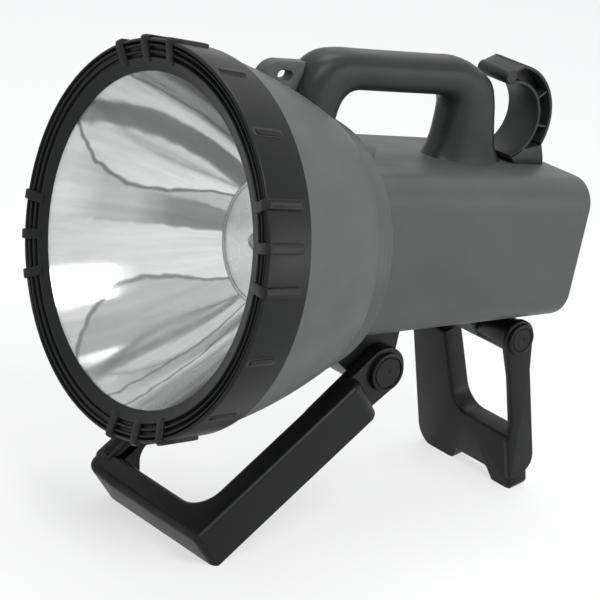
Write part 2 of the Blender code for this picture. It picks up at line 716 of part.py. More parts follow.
def make_bulb():
    """Halogen bulb in its disc and holder, with the clip and the plug behind it."""
    disc_front = NECK + GAP
    disc_rear = disc_front + BULB_DISC_THICKNESS
    disc_radius = REFLECTOR_NECK_RADIUS - GAP
    add_piece("bulb_disc", turned_mesh([
        (disc_radius, disc_front), (disc_radius, disc_rear),
        (BULB_BASE_RADIUS + GAP, disc_rear), (BULB_BASE_RADIUS + GAP, disc_front)]), MIRROR_BRIGHT)
    base_front = disc_front - BULB_DISC_THICKNESS
    base_rear = base_front + BULB_BASE_LENGTH
    add_piece("bulb_base", turned_mesh([
        (0.0, base_front), (BULB_BASE_RADIUS, base_front), (BULB_BASE_RADIUS, base_rear),
        (0.0, base_rear)], closed=False, steps=ROUND_STEPS), STEEL)
    tip = base_front - GAP - BULB_LENGTH
    dome = [(BULB_RADIUS * math.sin(math.radians(a)), tip + BULB_RADIUS * (1 - math.cos(math.radians(a))))
            for a in (0.0, 30.0, 60.0, 90.0)]
    add_piece("bulb_capsule", turned_mesh(
        dome + [(BULB_RADIUS, base_front - GAP), (0.0, base_front - GAP)], closed=False,
        steps=ROUND_STEPS), LENS_CLEAR)
    holder_front = disc_rear + GAP
    holder_rear = holder_front + HOLDER_LENGTH
    bore = BULB_BASE_RADIUS + GAP
    floor = base_rear + GAP
    add_piece("bulb_holder", turned_mesh([
        (disc_radius, holder_front), (disc_radius, holder_front + BULB_DISC_THICKNESS),
        (HOLDER_RADIUS, holder_front + BULB_DISC_THICKNESS), (HOLDER_RADIUS, holder_rear),
        (BULB_BASE_RADIUS / 2, holder_rear), (BULB_BASE_RADIUS / 2, floor),
        (bore, floor), (bore, holder_front)], steps=ROUND_STEPS), CERAMIC)
    clip_radius = HOLDER_RADIUS + CLIP_WIRE + GAP
    loop = [(clip_radius * math.cos(math.radians(a)), holder_front + BULB_DISC_THICKNESS + CLIP_WIRE + GAP,
             clip_radius * math.sin(math.radians(a))) for a in range(-150, 151, 15)]
    add_piece("bulb_clip", tube_mesh(loop, CLIP_WIRE), STEEL)
    size = CONNECTOR_SIZE
    plug = add_piece("bulb_connector", box_mesh(
        (-size[0] / 2, holder_rear + GAP, -size[2] / 2),
        (size[0] / 2, holder_rear + GAP + size[1], size[2] / 2)), RING_BLACK)
    round_edges(plug, CONNECTOR_EDGE)
    return holder_rear + GAP + size[1]


def make_head_shell():
    """The cone with its stepped collar; a ledge behind its rim carries the reflector's flange."""
    outer = head_outer_profile()
    outer[0] = (HEAD_RIM_RADIUS, GASKET_FRONT)
    inner_rim = LENS_RADIUS + GAP
    wall = HEAD_WALL * CONE_WALL_SHARE
    inside = [(HEAD_REAR_HOLE_RADIUS, HEAD_REAR), (HEAD_REAR_HOLE_RADIUS, HEAD_REAR - HEAD_WALL),
              (COLLAR_RADII[-1] - HEAD_WALL, HEAD_REAR - HEAD_WALL), (CONE_END_RADIUS - wall, CONE_END),
              (HEAD_RIM_RADIUS - wall, RING_REAR),
              (HEAD_RIM_RADIUS - wall, LEDGE_FRONT + HEAD_WALL + HEAD_LEDGE),
              (LENS_OPENING_RADIUS + REFLECTOR_WALL * 2, LEDGE_FRONT + HEAD_WALL),
              (LENS_OPENING_RADIUS + REFLECTOR_WALL * 2, LEDGE_FRONT),
              (inner_rim, LEDGE_FRONT), (inner_rim, GASKET_FRONT)]
    return add_piece("head_shell", turned_mesh(outer + inside), BODY_GREY)


def body_share(y):
    """How far along the body a station lies, 0 at its front and 1 at its rear."""
    return (y - BODY_FRONT) / (BODY_REAR - BODY_FRONT)


def body_bottom(y):
    """Height of the body's bottom face at a station."""
    return BODY_FRONT_BOTTOM + (BODY_REAR_BOTTOM - BODY_FRONT_BOTTOM) * body_share(y)


def body_section(y, shrink=0.0):
    """The body's cross-section at a station as half width, bottom and top, moved inwards."""
    half = BODY_FRONT_HALF_WIDTH + (BODY_REAR_HALF_WIDTH - BODY_FRONT_HALF_WIDTH) * body_share(y)
    return half - shrink, body_bottom(y) + shrink, BODY_TOP - shrink


def body_slice_mesh(y_front, y_rear, shrink, edge=0.0):
    """A length of the body's tapered box, moved inwards from its outer faces."""
    return tapered_box_mesh(body_section(y_front, shrink), body_section(y_rear, shrink), y_front, y_rear,
                            BODY_CORNER - shrink, edge)


COVER_REAR = BODY_REAR - COVER_INSET
COVER_FRONT = COVER_REAR - COVER_THICKNESS
SEAL_FRONT = COVER_FRONT - GAP - SEAL_THICKNESS
LEDGE_REAR = SEAL_FRONT - GAP
LEDGE_START = LEDGE_REAR - BODY_WALL
BOSS_START = LEDGE_REAR - COVER_SCREW_LENGTH
INNER_TOP = BODY_TOP - BODY_WALL


def cover_screw_places():
    """Places of the four rear cover screws as (x, z)."""
    half, bottom, top = body_section(COVER_REAR, COVER_SCREW_INSET)
    return [(side * half, z) for side in (-1, 1) for z in (bottom, top)]


def make_housing():
    """The box-shaped body, open at the rear, with a ledge and screw bosses for its cover."""
    housing = add_piece("main_housing", body_slice_mesh(BODY_FRONT, BODY_REAR, 0.0, BODY_EDGE), BODY_GREY)
    cut(housing, add_cutter("cavity_shape", body_slice_mesh(BODY_FRONT + BODY_WALL, LEDGE_START, BODY_WALL)))
    cut(housing, add_cutter("ledge_shape", body_slice_mesh(
        LEDGE_START - OVERRUN, LEDGE_REAR + OVERRUN, BODY_WALL + BODY_LEDGE)))
    cut(housing, add_cutter("cover_recess_shape", body_slice_mesh(
        LEDGE_REAR, BODY_REAR + OVERRUN, BODY_WALL)))
    cut(housing, add_cutter("wire_hole_shape", bar_mesh(
        (0.0, BODY_FRONT - OVERRUN, 0.0), (0.0, BODY_FRONT + BODY_WALL + OVERRUN, 0.0), WIRE_HOLE_RADIUS)))
    for x, z in cover_screw_places():
        join(housing, add_cutter("boss_shape", bar_mesh(
            (x, BOSS_START, z), (x, LEDGE_REAR, z), COVER_BOSS_RADIUS, steps=SMALL_STEPS)))
        cut(housing, add_cutter("boss_bore_shape", bar_mesh(
            (x, BOSS_START - OVERRUN, z), (x, LEDGE_REAR + OVERRUN, z), COVER_SCREW_RADIUS + GAP,
            steps=BORE_STEPS)))
    for place in handle_screw_places() + hook_screw_places():
        cut(housing, add_cutter("top_hole_shape", bar_mesh(
            (*place, INNER_TOP - OVERRUN), (*place, BODY_TOP + OVERRUN), TOP_SCREW_RADIUS + GAP,
            steps=BORE_STEPS)))
    return housing


def make_rear_cover():
    """The inset rear cover with its seal and four screws."""
    cover = add_piece("rear_cover", body_slice_mesh(COVER_FRONT, COVER_REAR, BODY_WALL + GAP), RING_BLACK)
    seal = add_piece("rear_cover_seal", body_slice_mesh(
        SEAL_FRONT, SEAL_FRONT + SEAL_THICKNESS, BODY_WALL + GAP), SEAL_RUBBER)
    cut(seal, add_cutter("seal_shape", body_slice_mesh(
        SEAL_FRONT - OVERRUN, COVER_FRONT + OVERRUN, BODY_WALL + GAP + SEAL_WIDTH)))
    for k, (x, z) in enumerate(cover_screw_places()):
        cut(cover, add_cutter("cover_hole_shape", bar_mesh(
            (x, COVER_FRONT - OVERRUN, z), (x, COVER_REAR + OVERRUN, z), COVER_SCREW_RADIUS + GAP,
            steps=BORE_STEPS)))
        add_screw("rear_cover_screw_%d" % (k + 1), (x, COVER_REAR + GAP, z), (0.0, -1.0, 0.0),
                  COVER_SCREW_RADIUS, COVER_SCREW_HEAD_RADIUS, COVER_SCREW_LENGTH)
    return cover


def add_screw(name, seat, direction, radius, head_radius, length):
    """A pan-head screw whose head rests on its seat, with its shank along the direction."""
    seat, direction = Vector(seat), Vector(direction).normalized()
    head_height = head_radius * SCREW_HEAD_SHARE
    screw = add_piece(name, bar_mesh(
        seat - direction * head_height, seat, head_radius * SCREW_CROWN_SHARE, head_radius,
        steps=SMALL_STEPS), STEEL)
    join(screw, add_cutter("shank_shape", bar_mesh(
        seat - direction * head_height / 2, seat + direction * length, radius, steps=BORE_STEPS)))


def handle_screw_places():
    """Places of the two handle screws in the body's top as (x, y)."""
    return [(0.0, HANDLE_FOOT_FRONT + HANDLE_SCREW_INSET), (0.0, HANDLE_FOOT_REAR - HANDLE_SCREW_INSET)]


def hook_screw_places():
    """Place of the hook's screw in the body's top as (x, y)."""
    return [(0.0, HOOK_FOOT_REAR - HOOK_SCREW_INSET)]


def make_handle():
    """The loop handle: its front leg stands on the cone and its flared rear foot on the body."""
    top, under = HANDLE_TOP, HANDLE_TOP - HANDLE_BAR
    foot = BODY_TOP - OVERRUN
    back, down = HANDLE_REAR_SHARES
    outline = rounded_outline([
        (HANDLE_FRONT + HANDLE_LEAN, COLLAR_RADII[-1] - OVERRUN, 0),
        (HANDLE_FRONT, top, HANDLE_FRONT_BEND),
        (HANDLE_REAR - HANDLE_SHOULDER_SETBACK, top, HANDLE_REAR_BEND),
        (HANDLE_REAR - HANDLE_BAR * back, top - HANDLE_BAR * down, HANDLE_REAR_BEND),
        (HANDLE_REAR, foot + (top - foot) * HANDLE_FOOT_SHARE, HANDLE_FOOT_BEND),
        (HANDLE_FOOT_REAR + HANDLE_FOOT_FLARE, foot, 0),
        (HANDLE_FOOT_FRONT - OVERRUN, foot, 0),
        (HANDLE_WINDOW_REAR, foot + (under - foot) * HANDLE_FOOT_SHARE, HANDLE_FOOT_BEND),
        (HANDLE_WINDOW_REAR, under, HANDLE_WINDOW_BEND),
        (HANDLE_WINDOW_FRONT, under, HANDLE_WINDOW_BEND),
        (HANDLE_WINDOW_FRONT + HANDLE_LEAN, COLLAR_RADII[-1] - OVERRUN, 0)])
    handle = add_piece("handle", outline_mesh([outline], -HANDLE_HALF_WIDTH, HANDLE_HALF_WIDTH),
                       GRIP_CHARCOAL)
    round_edges(handle, HANDLE_EDGE, segments=3).modifiers["rounded"].use_clamp_overlap = False
    cut(handle, head_cutter("handle_seat_shape"))
    cut(handle, add_cutter("body_top_shape", box_mesh(
        (-BODY_FRONT_HALF_WIDTH, CONE_END, 0.0), (BODY_FRONT_HALF_WIDTH, BODY_REAR, BODY_TOP + GAP))))
    for k, place in enumerate(handle_screw_places()):
        cut(handle, add_cutter("handle_screw_hole_shape", bar_mesh(
            (*place, 0.0), (*place, BODY_TOP + TOP_SCREW_LENGTH), TOP_SCREW_RADIUS + GAP, steps=BORE_STEPS)))
        add_screw("handle_screw_%d" % (k + 1), (*place, INNER_TOP - GAP), (0.0, 0.0, 1.0),
                  TOP_SCREW_RADIUS, TOP_SCREW_HEAD_RADIUS, TOP_SCREW_LENGTH)


def make_strap_eye():
    """The small ear with a slot, on the cone in front of the handle."""
    top = cone_radius(EYE_FRONT) + EYE_HEIGHT
    outline = rounded_outline([
        (EYE_FRONT - EYE_SLOPE, cone_radius(EYE_FRONT) - OVERRUN * 2, 0), (EYE_FRONT, top, EYE_BEND),
        (EYE_REAR, top, 0), (EYE_REAR, cone_radius(EYE_REAR) - OVERRUN * 2, 0)])
    slot_front, slot_bottom = EYE_FRONT + EYE_SLOT_INSET, top - EYE_SLOT_DROP
    slot_rear, slot_top = slot_front + EYE_SLOT_LENGTH, slot_bottom + EYE_SLOT_HEIGHT
    slot = rounded_outline([
        (slot_front, slot_bottom, EYE_SLOT_BEND), (slot_rear, slot_bottom, EYE_SLOT_BEND),
        (slot_rear, slot_top, EYE_SLOT_BEND), (slot_front, slot_top, EYE_SLOT_BEND)], steps=3)
    eye = add_piece("strap_eye", outline_mesh([outline, slot], -EYE_HALF_WIDTH, EYE_HALF_WIDTH), BODY_GREY)
    cut(eye, head_cutter("strap_eye_seat_shape"))


def make_hook():
    """The open hanging hook: a round inner wall and outer wall with a ribbed web between them."""
    centre = (HOOK_CENTRE_Y, HOOK_CENTRE_Z)
    tip = along(centre, HOOK_TIP_DEG, HOOK_INNER_RADIUS + HOOK_TIP_RADIUS)
    roll_start, roll_end = HOOK_ROLL_DEG
    inner = arc(centre, HOOK_INNER_RADIUS, HOOK_START_DEG, HOOK_TIP_DEG, 18)
    roll = arc(tip, HOOK_TIP_RADIUS, HOOK_TIP_DEG + roll_start, HOOK_TIP_DEG + roll_end, 8)[1:]
    outer = arc(centre, HOOK_OUTER_RADIUS, HOOK_TIP_DEG - HOOK_LAP_DEG, HOOK_NECK_DEG, 12)
    foot = BODY_TOP + GAP
    neck = (HOOK_FOOT_REAR - HOOK_WALL, (outer[-1][1] + foot) / 2)
    outline = inner + roll + outer + [neck, (HOOK_FOOT_REAR, foot), (HOOK_FOOT_FRONT, foot)]
    hook = add_piece("hanging_hook", outline_mesh([outline], -HOOK_HALF_WIDTH, HOOK_HALF_WIDTH),
                     GRIP_CHARCOAL)
    low, high = HOOK_INNER_RADIUS + HOOK_WALL, HOOK_OUTER_RADIUS - HOOK_WALL
    stops = (HOOK_POCKET_START_DEG, *HOOK_RIB_ANGLES_DEG, HOOK_TIP_DEG - HOOK_POCKET_END_DEG)
    for k in range(len(stops) - 1):
        first, last = stops[k] + HOOK_RIB_HALF_DEG, stops[k + 1] - HOOK_RIB_HALF_DEG
        pocket = arc(centre, low, first, last, 6) + arc(centre, high, last, first, 6)
        for side in (-1, 1):
            sides = sorted((side * HOOK_WEB / 2, side * (HOOK_HALF_WIDTH + OVERRUN)))
            cut(hook, add_cutter("hook_pocket_shape", outline_mesh([pocket], *sides)))
    for place in hook_screw_places():
        cut(hook, add_cutter("hook_screw_hole_shape", bar_mesh(
            (*place, 0.0), (*place, BODY_TOP + HOOK_SCREW_DEPTH), TOP_SCREW_RADIUS + GAP, steps=BORE_STEPS)))
        add_screw("hook_screw", (*place, INNER_TOP - GAP), (0.0, 0.0, 1.0),
                  TOP_SCREW_RADIUS, TOP_SCREW_HEAD_RADIUS,
                  BODY_WALL + HOOK_SCREW_DEPTH - HOOK_SCREW_SHORTFALL)


def stand_mesh(outline, low, high, direction_deg):
    """Extrude an (x, distance) outline across a stand and turn it to the stand's direction.

    The result is relative to the pivot; distance runs along the direction in the Y-Z plane.
    """
    mesh = outline_mesh([outline], low, high, plane="XY")
    mesh.transform(Matrix.Rotation(math.radians(direction_deg), 4, "X"))
    return mesh


def rod_along_x(pivot, low, high, radius, steps=ROUND_STEPS):
    """A round bar along X through a pivot given as (y, z)."""
    return bar_mesh((low, *pivot), (high, *pivot), radius, steps=steps)


def hinge_axis(name, pivot):
    """An empty on a stand's hinge axis."""
    axis = bpy.data.objects.new(name, None)
    axis.parent = STANCE
    axis.location = (0.0, *pivot)
    LAMP.objects.link(axis)
    return axis


def make_front_hinge():
    """The black bracket under the body, its pin and the two caps over the pin's ends."""
    front = BODY_FRONT + FRONT_BRACKET_SETBACK
    rear = FRONT_PIVOT[0] + FRONT_BARREL_RADIUS
    outline = [(front, body_bottom(front) - GAP), (front, body_bottom(front) - FRONT_BRACKET_DROP)]
    outline += arc(FRONT_PIVOT, FRONT_BARREL_RADIUS, FRONT_BARREL_START_DEG, 360.0, 10)
    outline.append((rear, body_bottom(rear) - GAP))
    half = FRONT_ARM_INNER - GAP
    add_piece("front_hinge_bracket", outline_mesh(
        [outline, circle(FRONT_PIVOT, PIN_RADIUS + GAP)], -half, half), STAND_BLACK)
    reach = FRONT_ARM_INNER + EYE_PLATE
    add_piece("front_hinge_pin", rod_along_x(FRONT_PIVOT, -reach, reach, PIN_RADIUS, SMALL_STEPS), STEEL)
    for side, label in ((-1, "left"), (1, "right")):
        ends = sorted((side * (reach + GAP), side * (reach + GAP + FRONT_CAP_THICKNESS)))
        cap = add_piece("front_pivot_cap_" + label, rod_along_x(FRONT_PIVOT, *ends, FRONT_CAP_RADIUS),
                        STAND_BLACK)
        round_edges(cap, FRONT_CAP_THICKNESS / 3, segments=1)


def make_front_stand():
    """The front stand: a heavy U of rounded bar with a thin round eye plate at the end of each arm."""
    axis = hinge_axis("front_stand_axis", FRONT_PIVOT)
    outer, inner = FRONT_STAND_HALF_WIDTH, FRONT_ARM_INNER
    length, bar = FRONT_STAND_LENGTH, FRONT_STAND_HALF_WIDTH - FRONT_ARM_INNER
    outline = rounded_outline([
        (-outer, length, FRONT_STAND_CORNER), (-outer, length - bar, FRONT_STAND_CORNER),
        (inner, length - bar, FRONT_STAND_BEND), (inner, FRONT_ARM_START, FRONT_STAND_CORNER),
        (outer, FRONT_ARM_START, FRONT_STAND_CORNER), (outer, length, FRONT_STAND_CORNER)])
    half = FRONT_STAND_DEPTH / 2
    stand = add_piece("front_stand", stand_mesh(outline, -half, half, FRONT_STAND_DEG), STAND_BLACK, axis)
    round_edges(stand, FRONT_STAND_EDGE, angle_deg=50.0).modifiers["rounded"].use_clamp_overlap = False
    far_outer = outer + FRONT_FAR_ARM_SPREAD
    far_inner, far_end = far_outer - FRONT_FAR_ARM, length - FRONT_STAND_CORNER
    far_arm = rounded_outline([
        (-far_outer, far_end, FRONT_STAND_CORNER), (-far_outer, FRONT_FAR_ARM_KNEE, FRONT_STAND_BEND),
        (-outer, FRONT_ARM_START, FRONT_STAND_CORNER), (-inner, FRONT_ARM_START, 0),
        (-inner, FRONT_ARM_START + bar, 0), (-far_inner, FRONT_FAR_ARM_KNEE, FRONT_STAND_BEND),
        (-far_inner, far_end, 0)])
    far_front = -half - FRONT_FAR_ARM_LEAD
    join(stand, round_edges(add_cutter("front_far_arm_shape", stand_mesh(
        far_arm, far_front, far_front + FRONT_FAR_ARM_DEPTH, FRONT_STAND_DEG), axis), FRONT_FAR_ARM_EDGE))
    reach, half_width = FRONT_ARM_START * FRONT_TONGUE_SHARES[0], FRONT_EYE_RADIUS * FRONT_TONGUE_SHARES[1]
    tongue = arc((0.0, 0.0), FRONT_EYE_RADIUS, 90.0, 270.0, 12) + [(reach, -half_width), (reach, half_width)]
    for side in (-1, 1):
        mesh = outline_mesh([tongue], *sorted((side * (inner + GAP), side * (inner + EYE_PLATE))))
        mesh.transform(Matrix.Rotation(math.radians(FRONT_STAND_DEG), 4, "X"))
        join(stand, add_cutter("front_eye_shape", mesh, axis))
    cut(stand, add_cutter("front_eye_bore_shape", rod_along_x(
        (0.0, 0.0), -outer, outer, PIN_RADIUS + GAP, SMALL_STEPS), axis))
    cap_clearance = inner + EYE_PLATE
    for side in (-1, 1):
        ends = sorted((side * cap_clearance, side * (outer + OVERRUN)))
        cut(stand, add_cutter("front_cap_room_shape", rod_along_x(
            (0.0, 0.0), *ends, FRONT_CAP_RADIUS + GAP), axis))
    cut(stand, floor_cutter("front_floor_shape"))


def make_rear_hinge():
    """The grey lug under the body's rear, its pin and the two caps."""
    front = REAR_PIVOT[0] - REAR_BRACKET_REACH
    rear = REAR_PIVOT[0] + REAR_BARREL_RADIUS
    outline = [(front, body_bottom(front) - GAP)]
    outline += arc(REAR_PIVOT, REAR_BARREL_RADIUS, REAR_BARREL_START_DEG, 360.0, 10)
    outline.append((rear, body_bottom(rear) - GAP))
    add_piece("rear_hinge_bracket", outline_mesh(
        [outline, circle(REAR_PIVOT, PIN_RADIUS + GAP)],
        -REAR_ARM_INNER + GAP, REAR_LUG_END), BODY_GREY)
    reach = REAR_STAND_HALF_WIDTH
    add_piece("rear_hinge_pin", rod_along_x(REAR_PIVOT, -reach, reach, PIN_RADIUS, SMALL_STEPS), STEEL)
    for side, label in ((-1, "left"), (1, "right")):
        ends = sorted((side * (reach + GAP), side * (reach + GAP + REAR_CAP_THICKNESS)))
        cap = add_piece("rear_pivot_cap_" + label, rod_along_x(REAR_PIVOT, *ends, REAR_CAP_RADIUS),
                        STAND_BLACK)
        round_edges(cap, REAR_CAP_THICKNESS / 3, segments=1)


def make_rear_stand():
    """The rear stand: a broad far arm, a slim near arm set back, a deep crossbar and two toes."""
    axis = hinge_axis("rear_stand_axis", REAR_PIVOT)
    outer, inner = REAR_STAND_HALF_WIDTH, REAR_ARM_INNER
    length, toe = REAR_STAND_LENGTH, REAR_TOE_LENGTH
    top = REAR_BARREL_RADIUS + REAR_ARM_CLEARANCE
    wide_left, wide_right = -REAR_WIDE_ARM_OUTER, -REAR_WIDE_ARM_OUTER + REAR_WIDE_ARM
    crossbar = length - REAR_CROSSBAR
    bend = REAR_TOE_ROUND
    outline = rounded_outline([
        (wide_left, top, 0), (wide_left, length + toe, REAR_STAND_BEND),
        (wide_right, length + toe, bend), (wide_right + bend, length, bend / 2),
        (outer - REAR_TOE_WIDTH - bend, length, bend / 2), (outer - REAR_TOE_WIDTH, length + toe, bend),
        (outer, length + toe, bend), (outer, crossbar, 0), (wide_right + bend, crossbar, REAR_STAND_BEND),
        (wide_right, top, 0)])
    front, rear = -REAR_STAND_FRONT, REAR_STAND_DEPTH - REAR_STAND_FRONT
    stand = add_piece("rear_stand", stand_mesh(outline, front, rear, REAR_STAND_DEG), STAND_BLACK, axis)
    near_front = -REAR_NEAR_ARM_FRONT
    near_rear = near_front + REAR_NEAR_ARM_DEPTH
    near_arm = outline_mesh([rounded_outline([
        (top, near_front, 0), (length, near_front, 0), (length, near_rear, REAR_NEAR_ARM_ROUND),
        (top, near_rear, 0)])], inner, outer - GAP)
    near_arm.transform(Matrix.Rotation(math.radians(REAR_STAND_DEG), 4, "X"))
    join(stand, add_cutter("rear_near_arm_shape", near_arm, axis))
    eye = arc((0.0, 0.0), REAR_EYE_RADIUS, REAR_EYE_START_DEG, 360.0 - REAR_EYE_START_DEG, 12)
    eye += [(top + REAR_EYE_RADIUS, front), (top + REAR_EYE_RADIUS, rear)]
    for side in (-1, 1):
        mesh = outline_mesh([eye], *sorted((side * (inner + GAP), side * (outer - GAP))))
        mesh.transform(Matrix.Rotation(math.radians(REAR_STAND_DEG), 4, "X"))
        join(stand, add_cutter("rear_eye_shape", mesh, axis))
    join(stand, add_cutter("rear_knuckle_shape", rod_along_x(
        (0.0, 0.0), REAR_LUG_END + GAP, (inner + outer) / 2, REAR_BARREL_RADIUS), axis))
    cut(stand, add_cutter("rear_eye_bore_shape", rod_along_x(
        (0.0, 0.0), -outer - OVERRUN, outer + OVERRUN, PIN_RADIUS + GAP, SMALL_STEPS), axis))
    cut(stand, floor_cutter("rear_floor_shape"))


def floor_cutter(name):
    """Everything below the floor, to make the feet's flats; it doesn't tip with the lamp."""
    reach = BODY_REAR * 2
    floor = add_cutter(name, box_mesh((-reach, -reach, -FRONT_FLAT_DEPTH * 4), (reach, reach, 0.0)))
    floor.parent = None
    return floor


def rod_along_y(x, z, start, end, radius, steps=ROUND_STEPS):
    """A round bar parallel to the beam."""
    return bar_mesh((x, start, z), (x, end, z), radius, steps=steps)


def block(centre, size, y_start):
    """A box centred on (x, z), starting at a station, of size (width, height, length)."""
    x, z = centre
    return box_mesh((x - size[0] / 2, y_start, z - size[1] / 2),
                    (x + size[0] / 2, y_start + size[2], z + size[1] / 2))


SWITCH_REAR = COVER_REAR + GAP + SWITCH_FLANGE[2]
SWITCH_FRONT = SWITCH_REAR - SWITCH_BODY[2]
ROCKER_PIVOT = (COVER_REAR + ROCKER_PIVOT_OUT, SWITCH_Z)
SOCKET_REAR = COVER_REAR + GAP + SOCKET_FLANGE_THICKNESS
FLAP_FRONT = SOCKET_REAR + GAP
FLAP_PIVOT = (FLAP_FRONT + FLAP_THICKNESS / 2, SOCKET_Z + FLAP_HINGE_RISE)


def make_switch(cover):
    """The rocker switch: a flanged frame set through the rear cover, and its rocker."""
    frame = add_piece("switch_frame", block((0.0, SWITCH_Z), SWITCH_FLANGE, COVER_REAR + GAP), RING_BLACK)
    join(frame, add_cutter("switch_body_shape", block((0.0, SWITCH_Z), SWITCH_BODY, SWITCH_FRONT)))
    cut(cover, add_cutter("switch_hole_shape", block(
        (0.0, SWITCH_Z), (SWITCH_BODY[0] + GAP * 2, SWITCH_BODY[1] + GAP * 2, COVER_THICKNESS + OVERRUN * 2),
        COVER_FRONT - OVERRUN)))
    room = (ROCKER_WIDTH + GAP * 2, (ROCKER_RADIUS + GAP) * 2, ROCKER_ROOM + OVERRUN * 2)
    cut(frame, add_cutter("switch_room_shape", block((0.0, SWITCH_Z), room, ROCKER_PIVOT[0] - ROCKER_ROOM)))
    axis = hinge_axis("switch_rocker_axis", ROCKER_PIVOT)
    outline = (arc((0.0, 0.0), ROCKER_RADIUS, 90.0 - ROCKER_HALF_DEG, 90.0 + ROCKER_HALF_DEG, 4)
               + arc((0.0, 0.0), ROCKER_RADIUS, 270.0 - ROCKER_HALF_DEG, 270.0 + ROCKER_HALF_DEG, 4)
               + [(ROCKER_DIP, 0.0)])
    mesh = outline_mesh([outline], -ROCKER_WIDTH / 2, ROCKER_WIDTH / 2)
    mesh.transform(Matrix.Rotation(math.radians(-ROCKER_TILT_DEG), 4, "X"))
    add_piece("switch_rocker", mesh, SWITCH_RED, axis)


def make_charge_socket(cover):
    """The charging socket and its rubber flap, hinged above it."""
    socket = add_piece("charge_socket", rod_along_y(
        SOCKET_X, SOCKET_Z, COVER_REAR + GAP, SOCKET_REAR, SOCKET_FLANGE_RADIUS), RING_BLACK)
    join(socket, add_cutter("socket_barrel_shape", rod_along_y(
        SOCKET_X, SOCKET_Z, SOCKET_REAR - SOCKET_LENGTH, SOCKET_REAR - GAP, SOCKET_RADIUS)))
    cut(cover, add_cutter("socket_hole_shape", rod_along_y(
        SOCKET_X, SOCKET_Z, COVER_FRONT - OVERRUN, COVER_REAR + OVERRUN, SOCKET_RADIUS + GAP)))
    cut(socket, add_cutter("socket_bore_shape", rod_along_y(
        SOCKET_X, SOCKET_Z, SOCKET_REAR - SOCKET_BORE_DEPTH, SOCKET_REAR + OVERRUN,
        SOCKET_BORE, SMALL_STEPS)))
    join(socket, add_cutter("socket_pin_shape", rod_along_y(
        SOCKET_X, SOCKET_Z, SOCKET_REAR - SOCKET_BORE_DEPTH - GAP, SOCKET_REAR - SOCKET_BORE_DEPTH / 2,
        SOCKET_PIN_RADIUS, TINY_STEPS)))
    axis = hinge_axis("charge_flap_axis", FLAP_PIVOT)
    axis.location.x = SOCKET_X
    half, side = FLAP_THICKNESS / 2, FLAP_TAB_WIDTH / 2
    tab_half = half * FLAP_TAB_SHARE
    tab = box_mesh((-side, -tab_half, -FLAP_HINGE_RISE), (side, tab_half, 0.0))
    flap = add_piece("charge_socket_cap", bar_mesh(
        (0.0, -half, -FLAP_HINGE_RISE), (0.0, half, -FLAP_HINGE_RISE), FLAP_RADIUS), SEAL_RUBBER, axis)
    join(flap, add_cutter("flap_tab_shape", tab, axis))
    join(flap, add_cutter("flap_barrel_shape", bar_mesh(
        (-side - GAP, 0.0, 0.0), (side + GAP, 0.0, 0.0), FLAP_BARREL_RADIUS, steps=BORE_STEPS), axis))
    join(flap, add_cutter("flap_plug_shape", bar_mesh(
        (0.0, -half - FLAP_PLUG_LENGTH, -FLAP_HINGE_RISE), (0.0, 0.0, -FLAP_HINGE_RISE),
        FLAP_PLUG_RADIUS, steps=BORE_STEPS), axis))


def make_charge_light(cover):
    """The charge light, a small domed lens through the rear cover."""
    light = add_piece("charge_indicator", rod_along_y(
        LIGHT_X, SWITCH_Z, COVER_REAR + LIGHT_STAND_OUT - LIGHT_LENGTH, COVER_REAR + LIGHT_STAND_OUT,
        LIGHT_RADIUS, SMALL_STEPS), LIGHT_GREEN)
    round_edges(light, LIGHT_RADIUS * LIGHT_DOME_SHARE)
    cut(cover, add_cutter("light_hole_shape", rod_along_y(
        LIGHT_X, SWITCH_Z, COVER_FRONT - OVERRUN, COVER_REAR + OVERRUN, LIGHT_RADIUS + GAP, SMALL_STEPS)))


